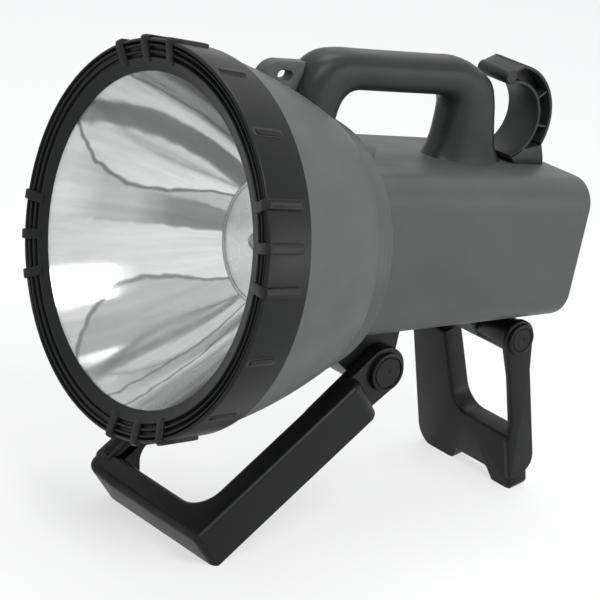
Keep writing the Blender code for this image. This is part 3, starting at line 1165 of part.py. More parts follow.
def make_power():
    """Battery on its tray, pad and bracket over it, and the board with relay and fuse holder."""
    half = BATTERY_WIDTH / 2
    rear = BOSS_START - BATTERY_REAR_ROOM
    front = BODY_FRONT + BODY_WALL + BATTERY_FRONT_ROOM
    tray_low_front = body_bottom(front) + BODY_WALL + GAP
    tray_low_rear = body_bottom(rear) + BODY_WALL + GAP
    tray_top = tray_low_rear + TRAY_THICKNESS
    add_piece("battery_tray", outline_mesh(
        [[(front, tray_low_front), (rear, tray_low_rear), (rear, tray_top), (front, tray_top)]],
        -TRAY_WIDTH / 2, TRAY_WIDTH / 2), RING_BLACK)
    bottom = tray_top + GAP
    top = bottom + BATTERY_HEIGHT
    battery = add_piece("battery", box_mesh((-half, front, bottom), (half, rear, top)), BATTERY_PLASTIC)
    round_edges(battery, TRAY_THICKNESS / 2)
    terminals = []
    for side, label in ((-1, "positive"), (1, "negative")):
        x, y = side * TERMINAL_SPACING / 2, front + TERMINAL_SETBACK
        tall = top + GAP + TERMINAL_SIZE[2]
        add_piece("battery_terminal_" + label, box_mesh(
            (x - TERMINAL_SIZE[0] / 2, y, top + GAP),
            (x + TERMINAL_SIZE[0] / 2, y + TERMINAL_SIZE[1], tall)), BRASS)
        terminals.append((x, y + TERMINAL_SIZE[1] / 2, tall + GAP))
    bracket_front = (front + rear) / 2 - BRACKET_LEAD
    pad_low = top + GAP
    pad_high = pad_low + PAD_THICKNESS
    add_piece("battery_pad", box_mesh((-half, bracket_front, pad_low),
                                      (half, bracket_front + PAD_LENGTH, pad_high)), FOAM)
    bracket_low = pad_high + GAP
    bracket_high = bracket_low + BRACKET_THICKNESS
    reach = body_section(bracket_front + BRACKET_LENGTH, BODY_WALL + GAP)[0]
    add_piece("battery_bracket", box_mesh((-reach, bracket_front, bracket_low),
                                          (reach, bracket_front + BRACKET_LENGTH, bracket_high)), STEEL)
    board_front, board_low = front + BOARD_SETBACK, bracket_high + GAP
    board_rear, board_high = rear - BOARD_REAR_ROOM, board_low + BOARD_THICKNESS
    add_piece("circuit_board", box_mesh((-BOARD_WIDTH / 2, board_front, board_low),
                                        (BOARD_WIDTH / 2, board_rear, board_high)), BOARD_GREEN)
    seat = board_high + GAP
    middle = (board_front + board_rear) / 2
    relay = add_piece("relay", box_mesh((-RELAY_SIZE[0], middle, seat),
                                        (0.0, middle + RELAY_SIZE[1], seat + RELAY_SIZE[2])), RING_BLACK)
    round_edges(relay, RELAY_EDGE, segments=1)
    add_piece("fuse_holder", rod_along_y(
        BOARD_WIDTH / 4, seat + FUSE_RADIUS, middle, middle + FUSE_LENGTH, FUSE_RADIUS, BORE_STEPS), CERAMIC)
    return terminals, (board_front, board_rear, seat + WIRE_RADIUS)


def make_wires(plug_rear, terminals, board):
    """The leads, each whole from end to end: bulb to board, battery to board, switch to board."""
    board_front, board_rear, rest = board
    for side, surface, label in ((-1, WIRE_RED, "positive"), (1, WIRE_BLACK, "negative")):
        x = side * BULB_LEAD_SPREAD
        throat = BODY_FRONT + BODY_WALL / 2
        gap = board_front - throat
        route = [(x / 2, plug_rear + GAP, 0.0), (x / 2, throat, 0.0), (x, throat + gap / 3, rest / 3),
                 (x, throat + gap * 2 / 3, rest), (x, board_front, rest + LEAD_ARCH / 2),
                 (x, board_front + LEAD_LANDING / 2, rest), (x, board_front + LEAD_LANDING, rest)]
        add_piece("bulb_lead_" + label, tube_mesh(smooth_route(route, 3), WIRE_RADIUS), surface)
        start = terminals[0] if side < 0 else terminals[1]
        end_y = board_front + LEAD_LANDING
        route = [start, (start[0], start[1], rest + LEAD_ARCH),
                 (start[0], (start[1] + board_front) / 2, rest + LEAD_ARCH * 2),
                 (start[0], board_front, rest + LEAD_ARCH), (start[0], end_y - LEAD_LANDING / 3, rest),
                 (start[0], end_y, rest)]
        add_piece("battery_lead_" + label, tube_mesh(smooth_route(route, 3), WIRE_RADIUS), surface)
        x = side * SWITCH_LEAD_SPREAD / 2
        front = SWITCH_FRONT - GAP
        route = [(x, front, SWITCH_Z), (x, front - LEAD_ARCH, SWITCH_Z), (x, board_rear + LEAD_ARCH, rest),
                 (x, board_rear, rest + LEAD_ARCH / 4), (x, board_rear - LEAD_LANDING / 2, rest),
                 (x, board_rear - LEAD_LANDING, rest)]
        name = "switch_lead_feed" if side < 0 else "switch_lead_return"
        add_piece(name, tube_mesh(smooth_route(route, 3), WIRE_RADIUS), surface)


def set_stance():
    """Tip the nose up and lift the lamp until both stands' feet reach just below the floor.

    The floor cutters then leave a flat on each foot.
    """
    half = FRONT_STAND_DEPTH / 2
    front = along(FRONT_PIVOT, FRONT_STAND_DEG, FRONT_STAND_LENGTH, half)
    rear = along(REAR_PIVOT, REAR_STAND_DEG, REAR_STAND_LENGTH + REAR_TOE_LENGTH, -REAR_STAND_FRONT)
    run, rise = rear[0] - front[0], rear[1] - front[1]
    pitch = (math.asin((FRONT_FLAT_DEPTH - REAR_FLAT_DEPTH) / math.hypot(run, rise)) - math.atan2(rise, run))
    STANCE.rotation_euler.x = pitch
    STANCE.location.z = -(front[0] * math.sin(pitch) + front[1] * math.cos(pitch)) - FRONT_FLAT_DEPTH


def centre_over_origin():
    """Slide the lamp along Y until the middle of its length lies over the origin."""
    bpy.context.view_layer.update()
    graph = bpy.context.evaluated_depsgraph_get()
    reaches = []
    for piece in LAMP.objects:
        if piece.type == "MESH":
            shown = piece.evaluated_get(graph)
            reaches += [(shown.matrix_world @ vertex.co).y for vertex in shown.data.vertices]
    STANCE.location.y -= (min(reaches) + max(reaches)) / 2


def build():
    """Make every piece of the lamp."""
    set_stance()
    make_ring()
    make_lens()
    make_reflector()
    plug_rear = make_bulb()
    make_head_shell()
    make_housing()
    cover = make_rear_cover()
    make_switch(cover)
    make_charge_socket(cover)
    make_charge_light(cover)
    terminals, board = make_power()
    make_wires(plug_rear, terminals, board)
    make_handle()
    make_strap_eye()
    make_hook()
    make_front_hinge()
    make_front_stand()
    make_rear_hinge()
    make_rear_stand()
    centre_over_origin()


build()
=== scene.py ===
"""Looks of a handheld searchlight that stands on two fold-out stands.

Every piece is drawn in the lamp's own frame, in metres: the beam runs along -Y, the lens opening's
centre is the origin and +Z is up. STANCE then tips the lamp onto its feet, as the CAD frame has it.
"""

import logging
import math
from dataclasses import dataclass, field
from enum import Enum
from functools import cached_property
from typing import Iterable, Sequence

import bmesh
import bpy
from mathutils import Matrix, Vector


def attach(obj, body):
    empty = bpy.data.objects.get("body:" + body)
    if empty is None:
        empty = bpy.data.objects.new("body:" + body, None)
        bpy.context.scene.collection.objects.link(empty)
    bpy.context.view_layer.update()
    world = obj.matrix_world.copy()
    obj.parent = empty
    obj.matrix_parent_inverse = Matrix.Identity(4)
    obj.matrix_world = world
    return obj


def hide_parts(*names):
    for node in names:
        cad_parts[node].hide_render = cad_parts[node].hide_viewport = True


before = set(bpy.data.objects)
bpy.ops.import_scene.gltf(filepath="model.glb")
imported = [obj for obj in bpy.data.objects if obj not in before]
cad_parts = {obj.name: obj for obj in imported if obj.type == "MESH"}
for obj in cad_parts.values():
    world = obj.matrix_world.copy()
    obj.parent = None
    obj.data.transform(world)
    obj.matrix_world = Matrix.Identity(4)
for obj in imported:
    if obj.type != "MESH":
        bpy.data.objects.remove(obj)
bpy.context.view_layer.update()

Pair = tuple[float, float]
Triple = tuple[float, float, float]
Shape = bmesh.types.BMesh
Socket = bpy.types.NodeSocket

LOG = logging.getLogger("searchlight")
TILT = math.radians(6.848486)
STANCE = Matrix.Translation((0.0, -0.1363984, 0.1856356)) @ Matrix.Rotation(-TILT, 4, "X")
CLEARANCE = 0.0003
WELD = 1e-6


class Body(Enum):
    """The rigid bodies that pieces ride on."""

    LAMP = "lamp"
    FRONT_STAND = "front_stand"
    REAR_STAND = "rear_stand"
    ROCKER = "switch_rocker"
    FLAP = "charge_socket_cap"


class Plane(Enum):
    """The plane that an outline is drawn in, by the number of the axis across it."""

    YZ = 0
    XY = 2


# Finishes.

class Shader:
    """One node material being built."""

    def __init__(self, name: str) -> None:
        """Start a material with a Principled shader.

        Args:
            name: The material's name.
        """
        self.material = bpy.data.materials.new(name + "_finish")
        self.material.use_nodes = True
        self.tree = self.material.node_tree
        self.surface = self.tree.nodes["Principled BSDF"]
        self.coordinates = self.tree.nodes.new("ShaderNodeTexCoord")

    def put(self, socket: str, value: float | Sequence[float]) -> None:
        """Set one of the shader's own sockets to a constant."""
        self.surface.inputs[socket].default_value = value

    def node(self, kind: str, **values: float | str | Sequence[float]) -> bpy.types.Node:
        """Add a node.

        Args:
            kind: Blender's type name of the node.
            values: Socket names or properties, with spaces written as underscores.

        Returns:
            The new node.
        """
        made = self.tree.nodes.new(kind)
        for key, value in values.items():
            label = key.replace("_", " ")
            if label in made.inputs:
                made.inputs[label].default_value = value
            else:
                setattr(made, key, value)
        return made

    def link(self, source: Socket, target: Socket) -> None:
        """Join two sockets."""
        self.tree.links.new(source, target)

    def maths(self, operation: str, *values: float | Socket) -> Socket:
        """Work out a value.

        Args:
            operation: Blender's name of the operation.
            values: Numbers or other values' sockets.

        Returns:
            The result's socket.
        """
        made = self.node("ShaderNodeMath", operation=operation)
        for socket, value in zip(made.inputs, values):
            if isinstance(value, (int, float)):
                socket.default_value = value
            else:
                self.link(value, socket)
        return made.outputs["Value"]

    def past(self, value: Socket, edge: Socket, soft: float) -> Socket:
        """Rise softly from 0 to 1 where a value passes an edge.

        Args:
            value: The value.
            edge: The edge that it passes.
            soft: Half the width of the rise.

        Returns:
            The result's socket.
        """
        ranged = self.node("ShaderNodeMapRange", interpolation_type="SMOOTHSTEP")
        for key, bound in (("From Min", -soft), ("From Max", soft)):
            ranged.inputs[key].default_value = bound
        self.link(self.maths("SUBTRACT", value, edge), ranged.inputs["Value"])
        return ranged.outputs["Result"]

    def noise(self, scale: float, detail: float = 3.0, stretch: Triple = (1.0, 1.0, 1.0)) -> Socket:
        """Noise in the piece's own coordinates.

        Args:
            scale: Cells in a metre.
            detail: Octaves.
            stretch: How much the pattern is squeezed along each axis.

        Returns:
            The noise value's socket.
        """
        mapping = self.node("ShaderNodeMapping", Scale=stretch)
        grain = self.node("ShaderNodeTexNoise", Scale=scale, Detail=detail)
        self.link(self.coordinates.outputs["Object"], mapping.inputs["Vector"])
        self.link(mapping.outputs["Vector"], grain.inputs["Vector"])
        return grain.outputs["Fac"]

    def spread(self, source: Socket, low: float, high: float) -> Socket:
        """Map a noise value of 0.3 to 0.7 onto a range.

        Args:
            source: The noise value.
            low: Value at 0.3.
            high: Value at 0.7.

        Returns:
            The result's socket.
        """
        ranged = self.node("ShaderNodeMapRange")
        for key, value in (("From Min", 0.3), ("From Max", 0.7), ("To Min", low), ("To Max", high)):
            ranged.inputs[key].default_value = value
        self.link(source, ranged.inputs["Value"])
        return ranged.outputs["Result"]

    def tinted(self, source: Socket, dark: Triple, light: Triple) -> None:
        """Colour the surface between two shades by a noise value.

        Args:
            source: The noise value.
            dark: Colour where it is low.
            light: Colour where it is high.
        """
        ramp = self.node("ShaderNodeValToRGB")
        ramp.color_ramp.elements[0].position, ramp.color_ramp.elements[1].position = 0.32, 0.68
        ramp.color_ramp.elements[0].color, ramp.color_ramp.elements[1].color = (*dark, 1.0), (*light, 1.0)
        self.link(source, ramp.inputs["Fac"])
        self.link(ramp.outputs["Color"], self.surface.inputs["Base Color"])

    def bumped(self, source: Socket, strength: float, depth: float) -> None:
        """Raise the surface by a noise value.

        Args:
            source: Height.
            strength: Strength of the bump node.
            depth: Height in metres of the full range.
        """
        bump = self.node("ShaderNodeBump", Strength=strength, Distance=depth)
        self.link(source, bump.inputs["Height"])
        self.link(bump.outputs["Normal"], self.surface.inputs["Normal"])


@dataclass(frozen=True)
class Moulding:
    """A moulded plastic or rubber surface with a fine spark-eroded grain and soft handling marks."""

    name: str
    colour: Triple
    roughness: float
    slot: str
    grain: float = 900.0
    grain_depth: float = 0.00008
    mottling: float = 0.10
    shine: float = 0.5
    coat: float = 0.0

    def material(self) -> bpy.types.Material:
        """Build the node material.

        Returns:
            The node material.
        """
        shader = Shader(self.name)
        shade = shader.noise(22.0, 4.0)
        dark = tuple(part * (1.0 - self.mottling) for part in self.colour)
        light = tuple(part * (1.0 + self.mottling) for part in self.colour)
        shader.tinted(shade, dark, light)
        wear = shader.noise(55.0, 5.0, (1.0, 0.35, 1.0))
        shader.link(shader.spread(wear, self.roughness * 0.90, self.roughness * 1.10),
                    shader.surface.inputs["Roughness"])
        shader.bumped(shader.noise(self.grain, 2.0), 0.35, self.grain_depth)
        shader.put("Specular IOR Level", self.shine)
        shader.put("Coat Weight", self.coat)
        shader.put("Coat Roughness", 0.25)
        return shader.material


@dataclass(frozen=True)
class Metal:
    """A metal surface: brushed, plated or polished."""

    name: str
    colour: Triple
    roughness: float
    slot: str
    brushing: Triple = (1.0, 1.0, 1.0)
    depth: float = 0.00003

    def material(self) -> bpy.types.Material:
        """Build the node material.

        Returns:
            The node material.
        """
        shader = Shader(self.name)
        marks = shader.noise(700.0, 3.0, self.brushing)
        shader.tinted(shader.noise(60.0), tuple(part * 0.93 for part in self.colour), self.colour)
        shader.link(shader.spread(marks, self.roughness * 0.7, self.roughness * 1.3),
                    shader.surface.inputs["Roughness"])
        shader.bumped(marks, 0.2, self.depth)
        shader.put("Metallic", 1.0)
        return shader.material


@dataclass(frozen=True)
class Bow:
    """An edge of a painted reflection down the bowl, by its angle from the top in degrees: at the mouth, its
    lean and its bow.
    """

    angle: float
    lean: float = 0.0
    bow: float = 0.0

    def at(self, shader: Shader, depth: Socket, bulge: Socket) -> Socket:
        """The line's angle at each depth, as a socket."""
        leaning = shader.maths("MULTIPLY_ADD", depth, self.lean, self.angle)
        return shader.maths("MULTIPLY_ADD", bulge, self.bow, leaning)


@dataclass(frozen=True)
class PaintedReflection:
    """A soft grey reflection painted into the bowl's colour between two lines."""

    first: Bow
    last: Bow
    shade: float
    soft: float = 1.5
    inward: float = -1.0

    def shadow(self, shader: Shader, angle: Socket, depth: Socket,
               bulge: Socket) -> Socket:
        """How much of the bowl's colour the painted reflection leaves.

        Args:
            shader: The material being built.
            angle: Angle about the beam.
            depth: Depth into the bowl, as a share.
            bulge: How far a line bows at that depth.

        Returns:
            The socket of the brightness that is left.
        """
        inside = shader.maths("MULTIPLY", shader.past(angle, self.first.at(shader, depth, bulge), self.soft),
                              shader.past(self.last.at(shader, depth, bulge), angle, self.soft))
        if self.inward > 0.0:
            deep = shader.node("ShaderNodeMapRange", From_Min=self.inward - 0.12, From_Max=self.inward + 0.12)
            shader.link(depth, deep.inputs["Value"])
            inside = shader.maths("MULTIPLY", inside, deep.outputs["Result"])
        return shader.maths("MULTIPLY_ADD", inside, self.shade - 1.0, 1.0)


@dataclass(frozen=True)
class Bowl:
    """The vacuum-metallised bowl: pale, with streaks and soft grey wings of reflection painted into its
    colour over a faint wavy bump.
    """

    name: str
    slot: str
    colour: Triple = (0.82, 0.83, 0.82)
    mouth: float = 0.0022
    depth: float = 0.0835
    painted_reflections: tuple[PaintedReflection, ...] = (
        PaintedReflection(Bow(50.0, -20.0, -2.0), Bow(62.5, -10.5, -4.0), 0.28, 2.0),
        PaintedReflection(Bow(29.0, -15.0), Bow(31.0, -14.0), 0.35, 0.7),
        PaintedReflection(Bow(8.0, -4.0), Bow(26.0, -14.0), 0.50, 3.0),
        PaintedReflection(Bow(62.0, 1.0, 19.0), Bow(99.5), 0.62, 1.0, 0.20),
        PaintedReflection(Bow(61.0, 1.0, 19.0), Bow(63.2, 1.0, 19.0), 0.22, 0.7),
        PaintedReflection(Bow(86.0, -6.0), Bow(99.0), 0.40, 1.6, 0.62),
        PaintedReflection(Bow(153.0, -10.0, -22.0), Bow(160.0), 0.64, 1.6),
        PaintedReflection(Bow(152.0, -10.0, -22.0), Bow(154.4, -10.0, -22.0), 0.30, 0.9),
        PaintedReflection(Bow(174.5, 1.0), Bow(176.0, 1.0), 0.40, 0.5))

    def material(self) -> bpy.types.Material:
        """Build the node material from the angle about the beam and the depth into the bowl.

        Returns:
            The node material.
        """
        shader = Shader(self.name)
        mapping = shader.node("ShaderNodeMapping")
        mapping.inputs["Location"].default_value = (STANCE.inverted() @ Vector()).to_tuple()
        mapping.inputs["Rotation"].default_value = (TILT, 0.0, 0.0)
        split = shader.node("ShaderNodeSeparateXYZ")
        shader.link(shader.coordinates.outputs["Object"], mapping.inputs["Vector"])
        shader.link(mapping.outputs["Vector"], split.inputs["Vector"])
        turn = shader.maths("ABSOLUTE", shader.maths("ARCTAN2", split.outputs["X"], split.outputs["Z"]))
        depth = shader.maths("MULTIPLY_ADD", split.outputs["Y"], 1.0 / self.depth, -self.mouth / self.depth)
        bulge = shader.maths("MULTIPLY", shader.maths("MULTIPLY", depth, 4.0),
                             shader.maths("SUBTRACT", 1.0, depth))
        ripple = shader.maths("SUBTRACT", shader.noise(120.0, 4.0), 0.5)
        angle = shader.maths("MULTIPLY_ADD", ripple, 5.0, shader.maths("MULTIPLY", turn, 180.0 / math.pi))
        spun = shader.node("ShaderNodeCombineXYZ")
        shader.link(shader.maths("MULTIPLY", turn, 7.0), spun.inputs["X"])
        shader.link(depth, spun.inputs["Y"])
        streaks = shader.node("ShaderNodeTexNoise", Scale=1.6, Detail=4.0, Roughness=0.6)
        shader.link(spun.outputs["Vector"], streaks.inputs["Vector"])
        # Painted reflection: the streak noise and every painted patch below darken the mirror's base colour,
        # down to the ramp's near-black end; the same noise also gives a faint real bump.
        painted_tone = shader.spread(streaks.outputs["Fac"], 0.84, 1.04)
        for patch in self.painted_reflections:
            painted_tone = shader.maths("MULTIPLY", painted_tone, patch.shadow(shader, angle, depth, bulge))
        ramp = shader.node("ShaderNodeValToRGB")
        ramp.color_ramp.elements[0].color = (0.02, 0.022, 0.022, 1.0)
        ramp.color_ramp.elements[1].color = (*self.colour, 1.0)
        shader.link(painted_tone, ramp.inputs["Fac"])
        shader.link(ramp.outputs["Color"], shader.surface.inputs["Base Color"])
        shader.bumped(streaks.outputs["Fac"], 0.06, 0.0006)
        shader.link(shader.spread(shader.noise(40.0), 0.08, 0.14), shader.surface.inputs["Roughness"])
        shader.put("Metallic", 1.0)
        return shader.material


@dataclass(frozen=True)
class Clear:
    """Clear polycarbonate or glass."""

    name: str
    slot: str
    colour: Triple = (0.97, 0.98, 0.98)
    ior: float = 1.45

    def material(self) -> bpy.types.Material:
        """Build the node material.

        Returns:
            The node material.
        """
        shader = Shader(self.name)
        smears = shader.noise(18.0, 4.0)
        shader.link(shader.spread(smears, 0.0, 0.03), shader.surface.inputs["Roughness"])
        shader.tinted(smears, tuple(part * 0.985 for part in self.colour), self.colour)
        shader.put("Transmission Weight", 1.0)
        shader.put("IOR", self.ior)
        return shader.material


class Finish(Enum):
    """Every finish on the lamp."""

    BODY = Moulding("body_grey", (0.066, 0.070, 0.067), 0.50, "body_grey", mottling=0.08, shine=0.3)
    # Painted light: the head is the body's grey, on the same slot, made lighter for the brighter light that
    # falls on the cone.
    HEAD_LIT = Moulding("head_lit_grey", (0.082, 0.086, 0.083), 0.50, "body_grey", mottling=0.08, shine=0.3)
    RING = Moulding("ring_black", (0.009, 0.0094, 0.0094), 0.38, "ring_black", shine=0.18)
    GRIP = Moulding("grip_charcoal", (0.021, 0.022, 0.0215), 0.38, "grip_charcoal", grain=1300.0, shine=0.22)
    STAND = Moulding("stand_black", (0.0055, 0.0058, 0.0058), 0.38, "stand_black", grain_depth=0.00004,
                     shine=0.20)
    PANEL = Moulding("panel_black", (0.028, 0.029, 0.030), 0.60, "ring_black", grain=600.0)
    RUBBER = Moulding("seal_rubber", (0.018, 0.018, 0.018), 0.82, "seal_rubber", grain=500.0)
    FOAM = Moulding("pad_foam", (0.060, 0.060, 0.062), 0.95, "foam", grain=320.0, grain_depth=0.0006)
    CERAMIC = Moulding("ceramic_white", (0.80, 0.79, 0.76), 0.55, "ceramic", mottling=0.03)
    DISC = Metal("disc_satin", (0.95, 0.955, 0.95), 0.36, "steel", depth=0.000002)
    BATTERY = Moulding("battery_case", (0.085, 0.090, 0.105), 0.45, "battery_plastic")
    BOARD = Moulding("board_green", (0.020, 0.120, 0.045), 0.40, "board_green", coat=0.4)
    WIRE_RED = Moulding("wire_red", (0.42, 0.020, 0.018), 0.42, "wire_red", mottling=0.05)
    WIRE_BLACK = Moulding("wire_black", (0.016, 0.016, 0.017), 0.42, "wire_black")
    ROCKER = Moulding("rocker_red", (0.48, 0.018, 0.016), 0.28, "switch_red", mottling=0.04, coat=0.3)
    PILOT = Moulding("pilot_green", (0.04, 0.40, 0.09), 0.15, "light_green", coat=0.6)
    STEEL = Metal("plated_steel", (0.58, 0.59, 0.60), 0.28, "steel", (1.0, 1.0, 0.1))
    BRASS = Metal("terminal_brass", (0.75, 0.58, 0.28), 0.30, "brass", (0.1, 1.0, 1.0))
    BOWL = Bowl("bowl_bright", "mirror_bright")
    LENS = Clear("lens_clear", "lens_clear")

    @cached_property
    def surface(self) -> bpy.types.Material:
        """The finish's material, built on its first use."""
        return self.value.material()


# Shapes.

def arc(centre: Pair, radius: float, start: float, end: float, steps: int) -> list[Pair]:
    """Points along an arc.

    Args:
        centre: Centre of the arc.
        radius: Its radius.
        start: First angle in degrees.
        end: Last angle in degrees.
        steps: Number of spans.

    Returns:
        The points, both ends included.
    """
    angles = [math.radians(start + (end - start) * k / steps) for k in range(steps + 1)]
    return [(centre[0] + radius * math.cos(a), centre[1] + radius * math.sin(a)) for a in angles]


def rounded(corners: Sequence[Triple], steps: int = 6) -> list[Pair]:
    """A closed outline with filleted corners.

    Args:
        corners: Corners as (u, v, fillet radius).
        steps: Spans in each fillet.

    Returns:
        The outline's points.
    """
    points: list[Pair] = []
    for k, corner in enumerate(corners):
        here = Vector(corner[:2])
        back = (Vector(corners[k - 1][:2]) - here).normalized()
        ahead = (Vector(corners[(k + 1) % len(corners)][:2]) - here).normalized()
        if corner[2] == 0:
            points.append((here.x, here.y))
            continue
        half = back.angle(ahead) / 2
        middle = here + (back + ahead).normalized() * corner[2] / math.sin(half)
        first = here + back * corner[2] / math.tan(half) - middle
        sweep = first.angle_signed(here + ahead * corner[2] / math.tan(half) - middle)
        for j in range(steps + 1):
            spot = middle + Matrix.Rotation(-sweep * j / steps, 2) @ first
            points.append((spot.x, spot.y))
    return points


def flowing(points: Sequence[Sequence[float]], spans: int) -> list[Vector]:
    """A smooth run of points through a few given ones.

    Args:
        points: Points to pass through.
        spans: New points for each gap.

    Returns:
        The dense run, both ends included.
    """
    knots = [Vector(point) for point in points]
    knots = [knots[0] * 2 - knots[1], *knots, knots[-1] * 2 - knots[-2]]
    run = []
    for k in range(1, len(knots) - 2):
        before, start, end, after = knots[k - 1:k + 3]
        for j in range(spans):
            t = j / spans
            run.append(0.5 * (2 * start + (end - before) * t
                              + (2 * before - 5 * start + 4 * end - after) * t * t
                              + (3 * start - before - 3 * end + after) * t ** 3))
    run.append(knots[-2])
    return run


def turned(profile: Sequence[Pair], closed: bool = True, steps: int = 160) -> Shape:
    """Spin a profile about the beam axis.

    Args:
        profile: Points as (radius, y).
        closed: Whether the last point joins the first.
        steps: Spans of the full turn.

    Returns:
        The turned shape.
    """
    shape = bmesh.new()
    line = [shape.verts.new((radius, y, 0.0)) for radius, y in profile]
    pairs = list(zip(line, line[1:])) + ([(line[-1], line[0])] if closed else [])
    edges = [shape.edges.new(pair) for pair in pairs]
    bmesh.ops.spin(shape, geom=line + edges, cent=(0.0, 0.0, 0.0), axis=(0.0, 1.0, 0.0), dvec=(0.0, 0.0, 0.0),
                   angle=math.tau, steps=steps, use_merge=True, use_normal_flip=False, use_duplicate=False)
    bmesh.ops.remove_doubles(shape, verts=shape.verts, dist=WELD)
    bmesh.ops.recalc_face_normals(shape, faces=shape.faces)
    return shape


def lofted(sections: Sequence[Sequence[Sequence[float]]]) -> Shape:
    """Draw a skin through loops of equal count, by extruding the first one along them, and close both ends.

    Args:
        sections: The loops, each a list of points.

    Returns:
        The lofted shape.
    """
    shape = bmesh.new()
    ring = [shape.verts.new(point) for point in sections[0]]
    edges = [shape.edges.new((ring[k - 1], ring[k])) for k in range(len(ring))]
    shape.faces.new(ring)
    for section in sections[1:]:
        made = bmesh.ops.extrude_edge_only(shape, edges=edges)["geom"]
        edges = [item for item in made if isinstance(item, bmesh.types.BMEdge)]
        order = {vertex: k for k, vertex in enumerate(ring)}
        for vertex in (item for item in made if isinstance(item, bmesh.types.BMVert)):
            partner = next(edge.other_vert(vertex) for edge in vertex.link_edges
                           if edge.other_vert(vertex) in order)
            ring[order.pop(partner)] = vertex
        for vertex, point in zip(ring, section):
            vertex.co = point
    shape.faces.new(ring)
    bmesh.ops.recalc_face_normals(shape, faces=shape.faces)
    return shape


def placed(plane: Plane, u: float, v: float, w: float) -> Triple:
    """The point at (u, v) in a plane, w along the axis across it."""
    return (w, u, v) if plane is Plane.YZ else (u, v, w)


def softened(shape: Shape, edges: Sequence[bmesh.types.BMEdge], radius: float, segments: int) -> None:
    """Round some of a shape's edges."""
    bmesh.ops.bevel(shape, geom=edges, offset=radius, offset_type="OFFSET", segments=segments, profile=0.5,
                    affect="EDGES", material=-1, clamp_overlap=True)


def drawn(outline: Sequence[Pair], low: float, high: float, plane: Plane = Plane.YZ, edge: float = 0.0,
          segments: int = 3, high_edge: float | None = None) -> Shape:
    """Extrude an outline and round the rims of both ends.

    Args:
        outline: Closed outline in the plane.
        low: Where it starts along the third axis.
        high: Where it ends.
        plane: The plane that it is drawn in.
        edge: Radius of its rims.
        segments: Spans of the rounding.
        high_edge: Radius of the high end's rim, where it is another one.

    Returns:
        The extruded shape.
    """
    shape = lofted([[placed(plane, u, v, w) for u, v in outline] for w in (low, high)])
    for level, radius in ((low, edge), (high, edge if high_edge is None else high_edge)):
        rims = [rim for rim in shape.edges
                if all(abs(vertex.co[plane.value] - level) < WELD for vertex in rim.verts)]
        if radius:
            softened(shape, rims, radius, segments)
    return shape


def block(low: Triple, high: Triple, edge: float) -> Shape:
    """A box between two corners with rounded edges.

    Args:
        low: Its lowest corner.
        high: Its highest corner.
        edge: Radius of its edges.

    Returns:
        The box.
    """
    shape = bmesh.new()
    bmesh.ops.create_cube(shape, size=1.0)
    size = [high[k] - low[k] for k in range(3)]
    bmesh.ops.scale(shape, vec=size, verts=shape.verts)
    bmesh.ops.translate(shape, vec=[(high[k] + low[k]) / 2 for k in range(3)], verts=shape.verts)
    softened(shape, shape.edges[:], edge, 3)
    return shape


def rod(start: Triple, end: Triple, radii: Sequence[Pair], steps: int = 48) -> Shape:
    """A turned bar between two points.

    Args:
        start: Its first end.
        end: Its last end.
        radii: Its outline as (share of the length, radius).
        steps: Spans round it.

    Returns:
        The bar, closed at both ends.
    """
    first, way = Vector(start), Vector(end) - Vector(start)
    turn = way.to_track_quat("Z", "Y").to_matrix()
    loops = [[first + way * share + turn @ Vector((radius * math.cos(math.tau * k / steps),
                                                   radius * math.sin(math.tau * k / steps), 0.0))
              for k in range(steps)] for share, radius in radii]
    return lofted(loops)


def tube(route: Sequence[Vector], radius: float, steps: int = 12) -> Shape:
    """A round wire along a route, whose section doesn't twist.

    Args:
        route: Points along its middle.
        radius: Its radius.
        steps: Spans round it.

    Returns:
        The wire.
    """
    side = Vector((1.0, 0.0, 0.0))
    loops = []
    for k, point in enumerate(route):
        way = (route[min(k + 1, len(route) - 1)] - route[max(k - 1, 0)]).normalized()
        side = (side - way * side.dot(way)).normalized() if abs(side.dot(way)) < 0.99 else way.orthogonal()
        up = way.cross(side)
        loops.append([point + (side * math.cos(a) + up * math.sin(a)) * radius
                      for a in (math.tau * j / steps for j in range(steps))])
    return lofted(loops)


def merged(shapes: Iterable[Shape]) -> Shape:
    """Put several shapes into one.

    Args:
        shapes: The shapes, which are used up.

    Returns:
        The whole.
    """
    whole = bmesh.new()
    for shape in shapes:
        part = bpy.data.meshes.new("part")
        shape.to_mesh(part)
        shape.free()
        whole.from_mesh(part)
        bpy.data.meshes.remove(part)
    return whole


def moved(shape: Shape, matrix: Matrix) -> Shape:
    """Transform a shape and give it back."""
    bmesh.ops.transform(shape, matrix=matrix, verts=shape.verts)
    return shape


def add(name: str, shape: Shape, finish: Finish, body: Body = Body.LAMP,
        stands_for: Sequence[str] = (), crease: float = 32.0) -> None:
    """Turn a shape in the lamp's frame into a piece of the scene.

    Args:
        name: The piece's name.
        shape: Its shape, which is used up.
        finish: Its finish.
        body: The body that it rides on.
        stands_for: CAD nodes that it replaces.
        crease: Angle in degrees past which an edge stays sharp.
    """
    moved(shape, STANCE)
    mesh = bpy.data.meshes.new(name)
    shape.to_mesh(mesh)
    shape.free()
    mesh.shade_smooth()
    mesh.set_sharp_from_angle(angle=math.radians(crease))
    mesh.materials.append(finish.surface)
    piece = bpy.data.objects.new(name, mesh)
    bpy.context.scene.collection.objects.link(piece)
    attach(piece, body.value)
    if stands_for:
        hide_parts(*stands_for)
    LOG.info("%s: %d faces, %s", name, len(mesh.polygons), finish.value.name)


def dress(node: str, finish: Finish) -> None:
    """Give a CAD node that stays its finish.

    Args:
        node: The node's name.
        finish: Its finish.
    """
    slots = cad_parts[node].material_slots
    for slot in slots:
        slot.material = finish.surface
    LOG.info("%s: kept, %s", node, finish.value.name)


def bent_about_beam(shape: Shape, angle: float) -> Shape:
    """Turn a shape drawn above the beam axis to an angle about it, 0 at +X and 90 at the top."""
    return moved(shape, Matrix.Rotation(math.radians(90.0 - angle), 4, "Y"))


